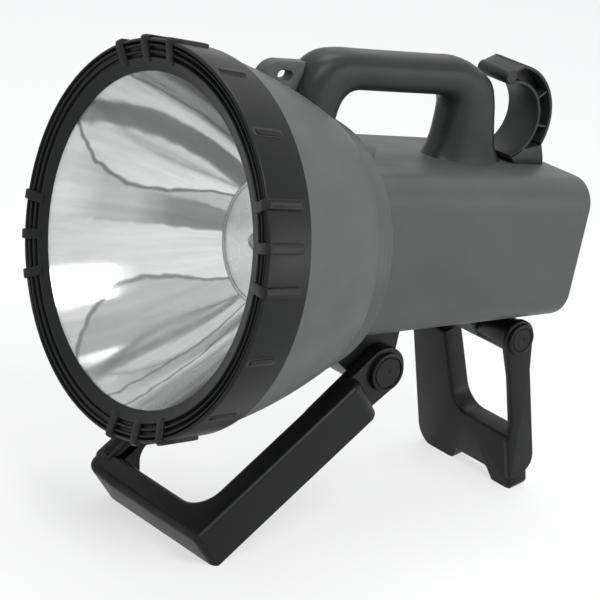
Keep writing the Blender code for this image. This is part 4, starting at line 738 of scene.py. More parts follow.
def pierced(outlines: Sequence[Sequence[Pair]], low: float, high: float, edge: float) -> Shape:
    """Extrude an outline with holes across the Y-Z plane and round the rims of both ends.

    Args:
        outlines: The outer outline, then its holes.
        low: X where it starts.
        high: X where it ends.
        edge: Radius of its rims.

    Returns:
        The extruded shape.
    """
    shape = bmesh.new()
    for outline in outlines:
        ring = [shape.verts.new((low, u, v)) for u, v in outline]
        for k in range(len(ring)):
            shape.edges.new((ring[k - 1], ring[k]))
    bmesh.ops.triangle_fill(shape, edges=shape.edges[:], use_beauty=True)
    made = bmesh.ops.extrude_face_region(shape, geom=shape.faces[:])["geom"]
    shift = (high - low, 0.0, 0.0)
    lifted = [item for item in made if isinstance(item, bmesh.types.BMVert)]
    bmesh.ops.translate(shape, vec=shift, verts=lifted)
    bmesh.ops.recalc_face_normals(shape, faces=shape.faces)
    rims = [rim for rim in shape.edges if len(rim.link_faces) == 2 and rim.calc_face_angle() > 1.0
            and abs((rim.verts[0].co - rim.verts[1].co).dot(Vector(shift))) < WELD * abs(high - low)]
    softened(shape, rims, edge, 2)
    return shape


# Sub-assemblies.

@dataclass
class Ring:
    """The black screw-on ring: a grooved face, long slab ribs in four threes and eight short ribs."""

    radius: float = 0.1133
    front: float = -0.0045
    rear: float = 0.0287
    draft: float = 0.082
    bore: float = 0.1067
    opening: float = 0.0950
    lip: float = 0.0003
    rib_width: float = 0.0060
    rib_height: float = 0.0020
    rib_end: float = 0.0225
    rib_foot: float = 0.1000
    groove: float = 0.0007
    turn: float = 16.0
    rib_spacing: float = 12.0
    short_width: float = 0.0040
    short_span: Pair = (-0.0002, 0.0190)
    short_angles: tuple[float, ...] = (33.2, 56.8)
    ridges: tuple[Pair, ...] = ((0.1095, -0.0037), (0.1058, -0.0030), (0.1021, -0.0022))

    def face(self) -> list[Pair]:
        """The face from the outer edge inwards: three fine ridges with grooves between, then a slope.

        Returns:
            Points as (radius, y).
        """
        points: list[Pair] = []
        for radius, level in self.ridges:
            points += [(radius + 0.0012, level + 0.0020), (radius + 0.0007, level + 0.0006),
                       (radius + 0.0003, level), (radius - 0.0003, level), (radius - 0.0008, level + 0.0005)]
            points.append((radius - 0.0010, level + 0.0022))
        return points[:-1] + [(self.opening + 0.0002, -0.0001), (self.opening, 0.0), (self.opening, self.lip)]

    def barrel(self) -> Shape:
        """The turned ring, a little narrower at the rear.

        Returns:
            The shape.
        """
        last = self.radius - self.draft * (self.rear - self.front)
        edge = arc((self.radius - 0.0018, self.front + 0.0018), 0.0018, 0.0, -90.0, 6)
        outer = [(self.bore, self.lip), (self.bore, self.rear), (last - 0.0012, self.rear),
                 (last, self.rear - 0.0010)]
        return turned(outer + edge + self.face(), steps=240)

    def leaning(self, shape: Shape) -> Shape:
        """Make a piece drawn on the barrel's top follow its draft.

        Args:
            shape: The piece.

        Returns:
            The same piece.
        """
        for vertex in shape.verts:
            vertex.co.z -= self.draft * (vertex.co.y - self.front)
        return shape

    def long_rib(self) -> Shape:
        """A slab along the barrel with a round end, and its bar over the face.

        Returns:
            The shape, at the top.
        """
        half, top = self.rib_width / 2, self.radius + self.rib_height
        plan = [(-half, self.front + 0.002), (half, self.front + 0.002)]
        plan += arc((0.0, self.rib_end - half), half, 0.0, 180.0, 12)
        slab = drawn(plan, self.radius - 0.002, top, Plane.XY, edge=0.0009)
        side = [(0.0040, self.rib_foot), (-0.0018, self.rib_foot), (-0.0033, 0.1030), (-0.0045, 0.1080),
                (self.front - 0.0009, 0.1110), (self.front - 0.0006, top - 0.0012),
                (self.front + 0.0006, top - 0.0001), (0.0040, top - 0.0001)]
        return merged([self.leaning(slab), self.leaning(drawn(side, -half, half, edge=0.0008))])

    def short_rib(self) -> Shape:
        """A narrow round-ended rib.

        Returns:
            The shape, at the top.
        """
        half = self.short_width / 2
        first, last = self.short_span
        plan = arc((0.0, last - half), half, 0.0, 180.0, 10)
        plan += arc((0.0, first + half), half, 180.0, 360.0, 10)
        return self.leaning(drawn(plan, self.radius - 0.002, self.radius + 0.0014, Plane.XY, edge=0.0012))

    def pocket_shade(self) -> Shape:
        """A thin dark sheet just over the barrel round a short rib, which paints the shade of a shallow
        recess there.

        Returns:
            The shape, at the top.
        """
        half = self.short_width / 2 + 0.0009
        first, last = self.short_span
        plan = (arc((0.0, last - half + 0.0005), half, 0.0, 180.0, 10)
                + arc((0.0, first + half - 0.0022), half, 180.0, 360.0, 10))
        return self.leaning(drawn(plan, self.radius - 0.002, self.radius + 0.00025, Plane.XY))

    def slot(self) -> Shape:
        """A thin dark sheet along a long rib's top, ending in a small round spot, which paints the shade of a
        narrow groove and its small hole.

        Returns:
            The shape, at the top.
        """
        half, end, top = self.groove, self.rib_end - self.rib_width * 0.6, self.radius + self.rib_height
        plan = [(-half, self.front + 0.0012), (half, self.front + 0.0012), (half, end - 0.0016)]
        plan += arc((0.0, end), 0.0012, -55.0, 235.0, 14) + [(-half, end - 0.0016)]
        return self.leaning(drawn(plan, top - 0.0005, top + 0.00008, Plane.XY))

    def build(self) -> None:
        """Make the ring."""
        # Painted shade: dark gathers thin sheets in the rubber finish, laid over the ribs and barrel where
        # grooves and recesses are shaded; nothing is cut.
        ribs, dark = [self.barrel()], []
        for quarter in range(4):
            start = self.turn + quarter * 90.0
            for k in (-1, 0, 1):
                ribs.append(bent_about_beam(self.long_rib(), start + k * self.rib_spacing))
                dark.append(bent_about_beam(self.slot(), start + k * self.rib_spacing))
            for angle in self.short_angles:
                ribs.append(bent_about_beam(self.short_rib(), start + angle))
                dark.append(bent_about_beam(self.pocket_shade(), start + angle))
        add("ring_dressed", merged(ribs), Finish.RING, stands_for=("bezel_ring",))
        add("ring_painted_shade", merged(dark), Finish.RUBBER)


@dataclass
class Optics:
    """Lens, gasket, reflector and bulb."""

    lens_radius: float = 0.1030
    lens_front: float = 0.0005
    lens_thickness: float = 0.0015
    dome: float = 0.0018
    dome_radius: float = 0.0950
    mouth: float = 0.0022
    mouth_radius: float = 0.0966
    neck_radius: float = 0.0380
    depth: float = 0.0835
    wall: float = 0.0015
    seal: tuple[Pair, Pair] = ((0.1032, 0.0006), (0.1044, 0.0032))

    def bowl_radius(self, y: float) -> float:
        """Radius of the reflecting surface at a station."""
        four_focal = (self.mouth_radius ** 2 - self.neck_radius ** 2) / self.depth
        return math.sqrt(self.neck_radius ** 2 + four_focal * (self.mouth + self.depth - y))

    def lens(self) -> Shape:
        """The slightly domed lens.

        Returns:
            The shape.
        """
        share = [k / 10 for k in range(10)]
        front = [(self.dome_radius * s, self.lens_front - self.dome * (1 - s * s)) for s in share]
        behind = self.lens_front + self.lens_thickness
        rim = [(self.dome_radius, self.lens_front), (self.lens_radius, self.lens_front),
               (self.lens_radius, behind), (self.dome_radius, behind)]
        back = [(radius, y + self.lens_thickness) for radius, y in reversed(front)]
        return turned(front + rim + back, closed=False)

    def bowl(self) -> Shape:
        """The paraboloid with its flange and its short neck.

        Returns:
            The shape.
        """
        stations = [self.mouth + self.depth * (1 - (1 - k / 40) ** 1.6) for k in range(41)]
        inner = [(self.bowl_radius(y), y) for y in stations]
        outer = [(radius + self.wall * 1.2, y) for radius, y in inner[2:-1]]
        end = self.mouth + self.depth + 0.0009
        flange = [(self.lens_radius, self.mouth), (self.lens_radius, self.mouth + self.wall),
                  (self.mouth_radius + self.wall, self.mouth + self.wall)]
        neck = [(self.neck_radius + self.wall, end), (self.neck_radius, end)]
        return turned(flange + outer + neck + inner[::-1])

    def disc(self) -> Shape:
        """The pale disc round the bulb, with a fine groove inside its rim.

        Returns:
            The shape.
        """
        y = self.mouth + self.depth + CLEARANCE
        edge, bore, back = self.neck_radius - 0.0002, 0.0093, y + 0.002
        raised, groove = (bore + 0.0027, y - 0.0004), y + 0.0012
        return turned([(edge, y), (edge, back), (bore, back), (bore, y), raised, (0.0150, y), (0.0352, y),
                       (0.0354, groove), (0.0360, groove), (0.0362, y)], steps=96)

    def bulb(self) -> None:
        """The quartz capsule with its filament on two posts, on its base."""
        base = self.mouth + self.depth - 0.0017
        tip, radius = base - 0.0075, 0.0055
        dome = [(radius * math.sin(math.radians(a)), tip + radius * (1 - math.cos(math.radians(a))))
                for a in range(0, 91, 10)]
        foot = base - CLEARANCE
        add("bulb_glass", turned(dome + [(radius, foot), (0.0, foot)], closed=False, steps=48), Finish.LENS,
            stands_for=("bulb_capsule",))
        reach, level, winding = 0.0030, tip + 0.0042, 0.0008
        coil = [Vector((reach * (k / 60 - 0.5) * 2, level + winding * math.cos(k * 1.2),
                        winding * math.sin(k * 1.2))) for k in range(61)]
        posts = [tube([Vector((side * reach, level, 0.0)), Vector((side * 0.0026, tip + 0.0060, 0.0)),
                       Vector((side * 0.0022, base + 0.001, 0.0))], 0.0004, 8) for side in (-1, 1)]
        add("bulb_filament", merged([tube(coil, 0.00018, 6), *posts]), Finish.STEEL)

    def build(self) -> None:
        """Make lens, gasket, bowl, disc and bulb."""
        add("lens_dressed", self.lens(), Finish.LENS, stands_for=("lens",))
        (inner, front), (outer, rear) = self.seal
        seal = turned([(inner, front), (outer, front), (outer, rear), (inner, rear)])
        add("gasket_dressed", seal, Finish.RUBBER, stands_for=("lens_gasket",))
        add("bowl_dressed", self.bowl(), Finish.BOWL, stands_for=("reflector",), crease=50.0)
        add("disc_dressed", self.disc(), Finish.DISC, stands_for=("bulb_disc",))
        self.bulb()


@dataclass
class HeadShell:
    """The cone and its stepped collar, with a small saddle on the collar's top."""

    rim: float = 0.1064
    base: float = 0.1086
    belly: float = 0.0026
    rim_front: float = 0.0084
    ring_rear: float = 0.0287
    cone_end: float = 0.1040
    cone_end_radius: float = 0.0812
    wall: float = 0.0030
    collar: tuple[float, ...] = (0.0796, 0.0776, 0.0755)
    step: float = 0.0050
    opening: float = 0.0260
    ledge: float = 0.0715
    saddle_half: float = 0.0355
    saddle_floor: float = 0.0560
    saddle_top: float = 0.0690
    saddle_lap: float = 0.0055

    def profile(self) -> list[Pair]:
        """The outer side from the front rim to the end of the collar, each edge softened.

        Returns:
            Points as (radius, y).
        """
        points: list[Pair] = [(self.rim, self.rim_front), (self.rim, self.ring_rear + CLEARANCE),
                              (self.base, self.ring_rear + CLEARANCE)]
        for share in (k / 16 for k in range(1, 16)):
            straight = self.base + (self.cone_end_radius - self.base) * share
            swell = self.belly * 4 * share * (1 - share)
            points.append((straight + swell, self.ring_rear + (self.cone_end - self.ring_rear) * share))
        points += [(self.cone_end_radius + 0.0003, self.cone_end - 0.0008),
                   (self.cone_end_radius - 0.0006, self.cone_end)]
        for k, radius in enumerate(self.collar):
            start = self.cone_end + k * self.step
            points += [(radius + 0.0003, start), (radius, start + 0.0004),
                       (radius, start + self.step - 0.0008), (radius - 0.0007, start + self.step)]
        return points

    def build(self) -> None:
        """Make the head shell."""
        rear = self.cone_end + self.step * len(self.collar)
        inner = self.rim - self.wall * 1.1
        inside = [(self.opening, rear), (self.opening, rear - self.wall), (self.ledge, rear - self.wall),
                  (self.cone_end_radius - self.wall, self.cone_end), (inner, self.ring_rear),
                  (inner, self.rim_front)]
        shell = turned(self.profile() + inside, steps=240)
        saddle = block((-self.saddle_half, self.cone_end + 0.002, self.saddle_floor),
                       (self.saddle_half, rear + self.saddle_lap, self.saddle_top), 0.0010)
        add("head_dressed", merged([shell, saddle]), Finish.HEAD_LIT, stands_for=("head_shell",))


@dataclass
class Housing:
    """The tapered box body, open at the rear round its inset cover."""

    front: float = 0.1193
    rear: float = 0.2945
    half: Pair = (0.0585, 0.0535)
    bottom: Pair = (-0.0445, -0.0330)
    top: float = 0.0556
    cover: Triple = (0.0505, -0.0284, 0.0505)
    cover_corner: float = 0.0112
    corner: float = 0.0175
    edge: float = 0.0035
    wall: float = 0.0028
    recess: float = 0.0110

    def section(self, y: float, shrink: float) -> list[Triple]:
        """A rounded cross-section loop.

        Args:
            y: Its station.
            shrink: How far it lies inside the outer faces.

        Returns:
            The loop's points.
        """
        share = (y - self.front) / (self.rear - self.front)
        half = self.half[0] + (self.half[1] - self.half[0]) * share - shrink
        low = self.bottom[0] + (self.bottom[1] - self.bottom[0]) * share + shrink
        high = self.top - shrink
        fillet = max(self.corner - shrink, 0.001)
        return self.loop(half, low, high, fillet, y)

    def loop(self, half: float, low: float, high: float, fillet: float, y: float) -> list[Triple]:
        """A rounded rectangle across the body.

        Args:
            half: Its half width.
            low: Its lower side.
            high: Its upper side.
            fillet: Radius of its corners.
            y: Its station.

        Returns:
            The loop's points.
        """
        corners = ((-half, low), (half, low), (half, high), (-half, high))
        return [(x, y, z) for x, z in rounded([(*corner, fillet) for corner in corners], 10)]

    def mouth(self, y: float) -> list[Triple]:
        """A loop of the straight mouth round the rear cover."""
        return self.loop(*self.cover, self.cover_corner, y)

    def build(self) -> None:
        """Make the housing."""
        stations = [(self.front + (self.rear - self.edge - self.front) * k / 8, 0.0) for k in range(9)]
        stations += [(self.rear - self.edge + v, self.edge - u)
                     for u, v in arc((0.0, 0.0), self.edge, 15.0, 90.0, 5)]
        stations[-1] = (self.rear, self.wall * 0.80)
        loops = [self.section(y, shrink) for y, shrink in stations]
        loops += [self.mouth(y) for y in (self.rear - 0.0005, self.rear - self.recess)]
        add("housing_dressed", lofted(loops), Finish.BODY, stands_for=("main_housing",))


@dataclass
class Handle:
    """The loop handle: one soft bar whose front leg stands on the cone and whose foot flares on the body."""

    half_width: float = 0.0140
    foot_half_width: float = 0.0152
    outer: tuple[Pair, ...] = (
        (0.0800, 0.0700), (0.0808, 0.0820), (0.0822, 0.0925), (0.0852, 0.1020), (0.0912, 0.1100),
        (0.1000, 0.1150), (0.1130, 0.1170), (0.1320, 0.1170), (0.1600, 0.1170), (0.1880, 0.1170),
        (0.2060, 0.1168), (0.2200, 0.1120), (0.2320, 0.1045), (0.2380, 0.0930), (0.2412, 0.0820),
        (0.2438, 0.0735), (0.2470, 0.0650), (0.2520, 0.0580), (0.2565, 0.0540))
    inner: tuple[Pair, ...] = (
        (0.1140, 0.0700), (0.1142, 0.0770), (0.1150, 0.0835), (0.1170, 0.0885), (0.1208, 0.0922),
        (0.1258, 0.0938), (0.1310, 0.0940), (0.1400, 0.0940), (0.1600, 0.0940), (0.1800, 0.0940),
        (0.1940, 0.0938), (0.2000, 0.0915), (0.2026, 0.0870), (0.2030, 0.0810), (0.2028, 0.0745),
        (0.2024, 0.0685), (0.2012, 0.0630), (0.1990, 0.0575), (0.1962, 0.0540))
    flare_from: float = 0.84
    squareness: float = 2.7
    around: int = 40

    def build(self) -> None:
        """Make the handle."""
        loops = []
        outer, inner = flowing(self.outer, 6), flowing(self.inner, 6)
        for k, (over, under) in enumerate(zip(outer, inner)):
            middle, reach = (over + under) / 2, (over - under) / 2
            share = max(0.0, k / (len(outer) - 1) - self.flare_from) / (1 - self.flare_from)
            half = self.half_width + (self.foot_half_width - self.half_width) * share * share
            loop = []
            for j in range(self.around):
                angle = math.tau * j / self.around
                sideways = math.copysign(abs(math.cos(angle)) ** (2 / self.squareness), math.cos(angle))
                upwards = math.copysign(abs(math.sin(angle)) ** (2 / self.squareness), math.sin(angle))
                spot = middle + reach * upwards
                loop.append((half * sideways, spot.x, spot.y))
            loops.append(loop)
        add("handle_dressed", lofted(loops), Finish.GRIP, stands_for=("handle",), crease=60.0)


@dataclass
class StrapEye:
    """The small ear with a slot in front of the handle."""

    half_width: float = 0.0040
    corners: tuple[Triple, ...] = ((0.0515, 0.0860, 0.0), (0.0575, 0.1085, 0.0125), (0.0855, 0.1085, 0.0),
                                   (0.0855, 0.0800, 0.0))
    slot_low: Pair = (0.0670, 0.0975)
    slot_high: Pair = (0.0775, 0.1030)
    slot_round: float = 0.0026

    def build(self) -> None:
        """Make the ear."""
        outline = rounded(self.corners, 10)
        (front, floor), (rear, top), fillet = self.slot_low, self.slot_high, self.slot_round
        slot = rounded([(front, floor, fillet), (rear, floor, fillet),
                        (rear, top, fillet), (front, top, fillet)])
        ear = pierced([outline, slot], -self.half_width, self.half_width, 0.0007)
        add("ear_dressed", ear, Finish.BODY, stands_for=("strap_eye",))


@dataclass
class Hook:
    """The open hanging hook: two thin walls about a web with small ribs, and a rolled tip."""

    centre: Pair = (0.2475, 0.0825)
    inner: float = 0.0230
    outer: float = 0.0350
    wall: float = 0.0022
    half_width: float = 0.0137
    web: float = 0.0030
    tip: float = 104.0
    tip_radius: float = 0.0045
    start: float = -73.0
    neck: float = -24.0
    foot: tuple[float, float, float] = (0.2616, 0.2850, 0.0536)
    ribs: tuple[float, ...] = (-5.0, 36.0)

    def band(self, low: float, high: float, first: float, last: float) -> list[Pair]:
        """The outline of a curved wall between two radii and two angles."""
        return arc(self.centre, low, first, last, 40) + arc(self.centre, high, last, first, 40)

    def build(self) -> None:
        """Make the hook."""
        reach = self.inner + self.tip_radius
        tip = (self.centre[0] + reach * math.cos(math.radians(self.tip)),
               self.centre[1] + reach * math.sin(math.radians(self.tip)))
        front, rear, floor = self.foot
        shoulder = arc(self.centre, self.outer, self.neck, self.neck, 1)[0]
        neck = (rear - self.wall, (shoulder[1] + floor) / 2)
        inner = self.band(self.inner, self.inner + self.wall, self.start, self.tip)
        outer = self.band(self.outer - self.wall, self.outer, self.neck, self.tip - 17.0)
        web = (arc(self.centre, self.inner + 0.001, self.start, self.tip, 40)
               + arc(self.centre, self.outer - 0.001, self.tip - 16.0, self.neck, 40))
        foot = arc(self.centre, self.inner, self.start, -52.0, 12)
        foot += [shoulder, neck, (rear, floor), (front, floor)]
        shapes = [drawn(inner, -self.half_width, self.half_width, edge=0.0006),
                  drawn(outer, -self.half_width, self.half_width, edge=0.0006),
                  drawn(web + [(rear - 0.004, floor), (front, floor)], -self.web, self.web),
                  drawn(foot, -self.half_width, self.half_width, edge=0.0008),
                  rod((-self.half_width, *tip), (self.half_width, *tip),
                      [(0.0, 0.0036), (0.02, 0.0043), (0.05, self.tip_radius), (0.95, self.tip_radius),
                       (0.98, 0.0043), (1.0, 0.0036)])]
        bridge = [arc(self.centre, self.outer, self.tip - 18.0, self.tip - 18.0, 1)[0],
                  (tip[0] + 0.0010, tip[1] + self.tip_radius),
                  (tip[0] + 0.0014, tip[1] + self.tip_radius - 0.0022),
                  arc(self.centre, self.outer - self.wall, self.tip - 18.0, self.tip - 18.0, 1)[0]]
        shapes.append(drawn(bridge, -self.half_width, self.half_width, edge=0.0004))
        for angle in self.ribs:
            rib = block((-self.half_width + 0.0008, self.inner, -0.0007),
                        (self.half_width - 0.0008, self.outer - 0.001, 0.0007), 0.0003)
            turn = Matrix.Translation((0.0, *self.centre)) @ Matrix.Rotation(math.radians(angle), 4, "X")
            shapes.append(moved(rib, turn))
        add("hook_dressed", merged(shapes), Finish.GRIP, stands_for=("hanging_hook",))


@dataclass
class Fold:
    """A stand's hinge: its pivot in the Y-Z plane and its direction from +Y towards +Z, in degrees."""

    pivot: Pair
    direction: float

    def matrix(self) -> Matrix:
        """Takes (x, distance along the stand, offset) into the lamp's frame."""
        return Matrix.Translation((0.0, *self.pivot)) @ Matrix.Rotation(math.radians(self.direction), 4, "X")


def set_down(shape: Shape) -> Shape:
    """Flatten a foot where it stands on the floor.

    Args:
        shape: The foot, in the lamp's frame.

    Returns:
        The same shape.
    """
    moved(shape, STANCE)
    for vertex in shape.verts:
        vertex.co.z = max(vertex.co.z, 0.0)
    return moved(shape, STANCE.inverted())


def cap(pivot: Pair, start: float, end: float, radius: float) -> Shape:
    """A round pivot cap with a turned groove and a centre dimple on its outer face.

    Args:
        pivot: The axis as (y, z).
        start: X where it lies on the arm.
        end: X of its outer face.
        radius: Its radius.

    Returns:
        The cap.
    """
    outline = [(0.0, radius), (0.65, radius), (0.90, radius - 0.0003), (1.0, radius - 0.0009),
               (1.0, radius - 0.0020), (0.72, radius - 0.0023), (0.72, radius - 0.0028),
               (0.94, radius - 0.0031), (0.98, radius * 0.45), (0.98, 0.0022), (0.80, 0.0017), (0.74, 0.0008)]
    return rod((start, *pivot), (end, *pivot), outline, 64)


@dataclass
class FrontStand:
    """The front stand: a broad near grip, a slim far arm, eye plates, its bracket and caps."""

    fold: Fold = field(default_factory=lambda: Fold((0.1630, -0.0665), 222.5))
    half_width: float = 0.0520
    inner: float = 0.0340
    length: float = 0.1580
    depth: float = 0.0290
    start: float = 0.0190
    corner: float = 0.0078
    foot_corner: float = 0.0045
    bend: float = 0.0160
    edge: float = 0.0105
    eye_radius: float = 0.0148
    plate: float = 0.0090
    cap_radius: float = 0.0122
    cap_thickness: float = 0.0030
    far: Pair = (0.0580, 0.0450)
    far_knee: float = 0.0600
    far_offsets: Pair = (-0.0195, -0.0075)
    knots: Pair = (0.0340, 0.0260)
    thinning: Pair = (0.0300, 0.0200)
    flare: tuple[float, ...] = (0.1150, 0.1280, 0.1400, 0.1500)
    bracket_nose: tuple[Pair, Pair] = ((0.1213, -0.0446), (0.1213, -0.0563))
    bracket_heel: Pair = (0.1770, -0.0404)
    bracket_radius: float = 0.0140

    def bar(self) -> Shape:
        """The near arm and the crossbar, round in front and crisp underneath, and the slim far arm.

        Returns:
            The shape.
        """
        outer, inner, last = self.half_width, self.inner, self.length - (self.half_width - self.inner)
        far_end, near_end = -self.knots[0], -self.knots[1]
        outline = rounded([
            (-outer, self.length, self.corner), (-outer, last, 0.004),
            (far_end, last, 0.0), (near_end, last, 0.0),
            (inner, last, self.bend), (inner, self.start, self.corner), (outer, self.start, self.corner),
            (outer, self.length, self.foot_corner),
            (near_end, self.length, 0.0), (far_end, self.length, 0.0)], 10)
        near = drawn(outline, -self.depth / 2, self.depth / 2, Plane.XY, self.edge, 8, 0.0018)
        wide, slim = self.far
        for vertex in near.verts:
            share = min(1.0, max(0.0, (-self.thinning[0] - vertex.co.x) / self.thinning[1]))
            share *= share * (3.0 - 2.0 * share)
            vertex.co.x -= (wide - outer) * share
            vertex.co.z += (self.far_offsets[0] + self.depth / 2) * share * (vertex.co.z < 0.0)
        (low, high), top = self.far_offsets, self.depth / 2 - 0.001
        first, rise, crest, final = self.flare
        flare = rounded([(first, low, 0.0), (final, low, 0.004), (final, top, 0.003), (crest, top, 0.012),
                         (rise, high, 0.012), (first, high, 0.0)], 10)
        end = self.length - self.corner
        outline = rounded([
            (-wide, end, self.corner), (-wide, self.far_knee, self.bend), (-outer, self.start, self.corner),
            (-inner, self.start, 0.0), (-inner, self.start + 0.018, 0.0), (-slim, self.far_knee, self.bend),
            (-slim, end, 0.0)], 8)
        far = drawn(outline, *self.far_offsets, Plane.XY, 0.0035, 6)
        web = drawn(flare, -wide, -slim, Plane.YZ, 0.0035, 6)
        return set_down(moved(merged([near, far, web]), self.fold.matrix()))

    def plates(self) -> list[Shape]:
        """The thin eye plates that run from the pivot into the arms.

        Returns:
            Both plates.
        """
        reach = self.start + 0.034
        tongue = (arc((0.0, 0.0), self.eye_radius, 90.0, 270.0, 40)
                  + [(reach, -self.depth / 2 + 0.0012), (reach + 0.010, -self.depth / 2 + 0.005),
                     (reach + 0.010, 0.0), (reach, self.eye_radius * 0.8)])
        shapes = []
        for side in (-1, 1):
            low, high = sorted((side * (self.inner + CLEARANCE), side * (self.inner + self.plate)))
            plate = drawn(tongue, low, high, Plane.YZ, 0.0006)
            shapes.append(moved(plate, self.fold.matrix()))
        return shapes

    def bracket(self) -> Shape:
        """The bracket under the body, round the hinge's pin.

        Returns:
            The shape.
        """
        y, z = self.fold.pivot
        outline = [*self.bracket_nose, *arc((y, z), self.bracket_radius, 240.0, 360.0, 24), self.bracket_heel]
        half = self.inner - CLEARANCE
        return drawn(outline, -half, half, Plane.YZ, 0.0008)

    def build(self) -> None:
        """Make stand, bracket and caps."""
        add("front_stand_dressed", merged([self.bar(), *self.plates()]), Finish.STAND, Body.FRONT_STAND,
            ("front_stand",), crease=40.0)
        add("front_bracket_dressed", self.bracket(), Finish.STAND, stands_for=("front_hinge_bracket",))
        seat = self.inner + self.plate + CLEARANCE
        for side, label in ((-1, "left"), (1, "right")):
            add(f"front_cap_{label}_dressed",
                cap(self.fold.pivot, side * seat, side * (seat + self.cap_thickness), self.cap_radius),
                Finish.STAND, Body.FRONT_STAND, (f"front_pivot_cap_{label}",))


@dataclass
class RearStand:
    """The rear stand with its broad far arm, slim near arm and two toes, its lug and caps."""

    fold: Fold = field(default_factory=lambda: Fold((0.2720, -0.0490), 290.0))
    outer: float = 0.0410
    inner: float = 0.0360
    far: Pair = (-0.0490, -0.0170)
    length: float = 0.0970
    tip: float = 0.1065
    toe: float = 0.0055
    toe_width: float = 0.0180
    crossbar: float = 0.0660
    near_offsets: Pair = (-0.0090, 0.0080)
    near_round: float = 0.0120
    bend: float = 0.0150
    front: float = -0.0125
    rear: float = 0.0025
    top: float = 0.0130
    barrel: float = 0.0105
    eye_radius: float = 0.0118
    lug_end: float = 0.0110
    lug_nose: Pair = (0.2420, -0.0353)
    lug_heel: Pair = (0.2825, -0.0322)
    cap_radius: float = 0.0100
    cap_thickness: float = 0.0020

    def panel(self) -> Shape:
        """The stand's flat U with its toes and its near arm, flat where it stands on the floor.

        Returns:
            The shape.
        """
        left, right = self.far
        tip, toe = self.tip, self.toe
        side, toe_side = self.outer - 2 * CLEARANCE, self.outer - self.toe_width
        outline = rounded([
            (left, self.top, 0.0), (left, tip, self.bend), (right, tip, toe),
            (right + toe, self.length, toe / 2), (toe_side - toe, self.length, toe / 2), (toe_side, tip, toe),
            (side, tip, toe), (side, self.crossbar, 0.0), (right + toe, self.crossbar, self.bend),
            (right, self.top, 0.0)], 10)
        panel = drawn(outline, self.front, self.rear, Plane.XY, 0.0016)
        return set_down(moved(merged([panel, self.near_arm()]), self.fold.matrix()))

    def near_arm(self) -> Shape:
        """The near arm and its eye in one, deep enough at the foot to cover the crossbar's end.

        Returns:
            The shape, before it is folded.
        """
        first, last = self.near_offsets
        foot, reach = self.front - CLEARANCE, self.top + self.eye_radius
        outline = self.eye() + rounded([
            (reach, first, 0.0), (self.crossbar - 0.0060, first, 0.0060),
            (self.crossbar + 0.0040, foot, 0.0060), (self.length, foot, 0.001),
            (self.length, last, self.near_round), (reach, last, 0.0)], 10)
        return drawn(outline, self.inner + CLEARANCE, self.outer, Plane.YZ, 0.0012)

    def eye(self) -> list[Pair]:
        """The round end of an arm about the pivot."""
        return arc((0.0, 0.0), self.eye_radius, 70.0, 290.0, 30)

    def eyes(self) -> list[Shape]:
        """The far arm's eye, and the knuckle between the arms.

        Returns:
            Both shapes.
        """
        reach = self.top + self.eye_radius
        outline = self.eye() + [(reach, self.front), (reach, self.rear)]
        far = drawn(outline, -self.outer, -self.inner - CLEARANCE, Plane.YZ, 0.0008)
        shapes = [moved(far, self.fold.matrix())]
        y, z = self.fold.pivot
        shapes.append(rod((self.lug_end + CLEARANCE, y, z), (self.inner + 0.002, y, z),
                          [(0.0, self.barrel - 0.0006), (0.03, self.barrel), (1.0, self.barrel)]))
        return shapes

    def lug(self) -> Shape:
        """The grey lug under the body's rear.

        Returns:
            The shape.
        """
        y, z = self.fold.pivot
        outline = [self.lug_nose, *arc((y, z), self.barrel, 230.0, 360.0, 24), self.lug_heel]
        return drawn(outline, -self.inner + CLEARANCE, self.lug_end, Plane.YZ, 0.0008)

    def build(self) -> None:
        """Make stand, lug and caps."""
        add("rear_stand_dressed", merged([self.panel(), *self.eyes()]), Finish.STAND, Body.REAR_STAND,
            ("rear_stand",), crease=40.0)
        add("rear_lug_dressed", self.lug(), Finish.BODY, stands_for=("rear_hinge_bracket",))
        seat = self.outer + CLEARANCE
        for side, label in ((-1, "left"), (1, "right")):
            add(f"rear_cap_{label}_dressed",
                cap(self.fold.pivot, side * seat, side * (seat + self.cap_thickness), self.cap_radius),
                Finish.STAND, Body.REAR_STAND, (f"rear_pivot_cap_{label}",))


class KeptNodes:
    """The CAD nodes whose shape is right, with their finishes."""

    FINISHES: dict[Finish, tuple[str, ...]] = {
        Finish.STEEL: ("bulb_base", "bulb_clip", "rear_cover_screw_1", "rear_cover_screw_2",
                       "rear_cover_screw_3", "rear_cover_screw_4", "handle_screw_1", "handle_screw_2",
                       "hook_screw", "front_hinge_pin", "rear_hinge_pin", "battery_bracket"),
        Finish.CERAMIC: ("bulb_holder", "bulb_connector", "fuse_holder"),
        Finish.PANEL: ("rear_cover", "switch_frame", "battery_tray", "relay"),
        Finish.RUBBER: ("rear_cover_seal", "charge_socket_cap"),
        Finish.ROCKER: ("switch_rocker",),
        Finish.RING: ("charge_socket",),
        Finish.PILOT: ("charge_indicator",),
        Finish.BATTERY: ("battery",),
        Finish.FOAM: ("battery_pad",),
        Finish.BRASS: ("battery_terminal_positive", "battery_terminal_negative"),
        Finish.BOARD: ("circuit_board",),
        Finish.WIRE_RED: ("bulb_lead_positive", "battery_lead_positive", "switch_lead_feed"),
        Finish.WIRE_BLACK: ("bulb_lead_negative", "battery_lead_negative", "switch_lead_return")}

    def build(self) -> None:
        """Dress every kept node."""
        for finish, nodes in self.FINISHES.items():
            for node in nodes:
                dress(node, finish)


# Studio.

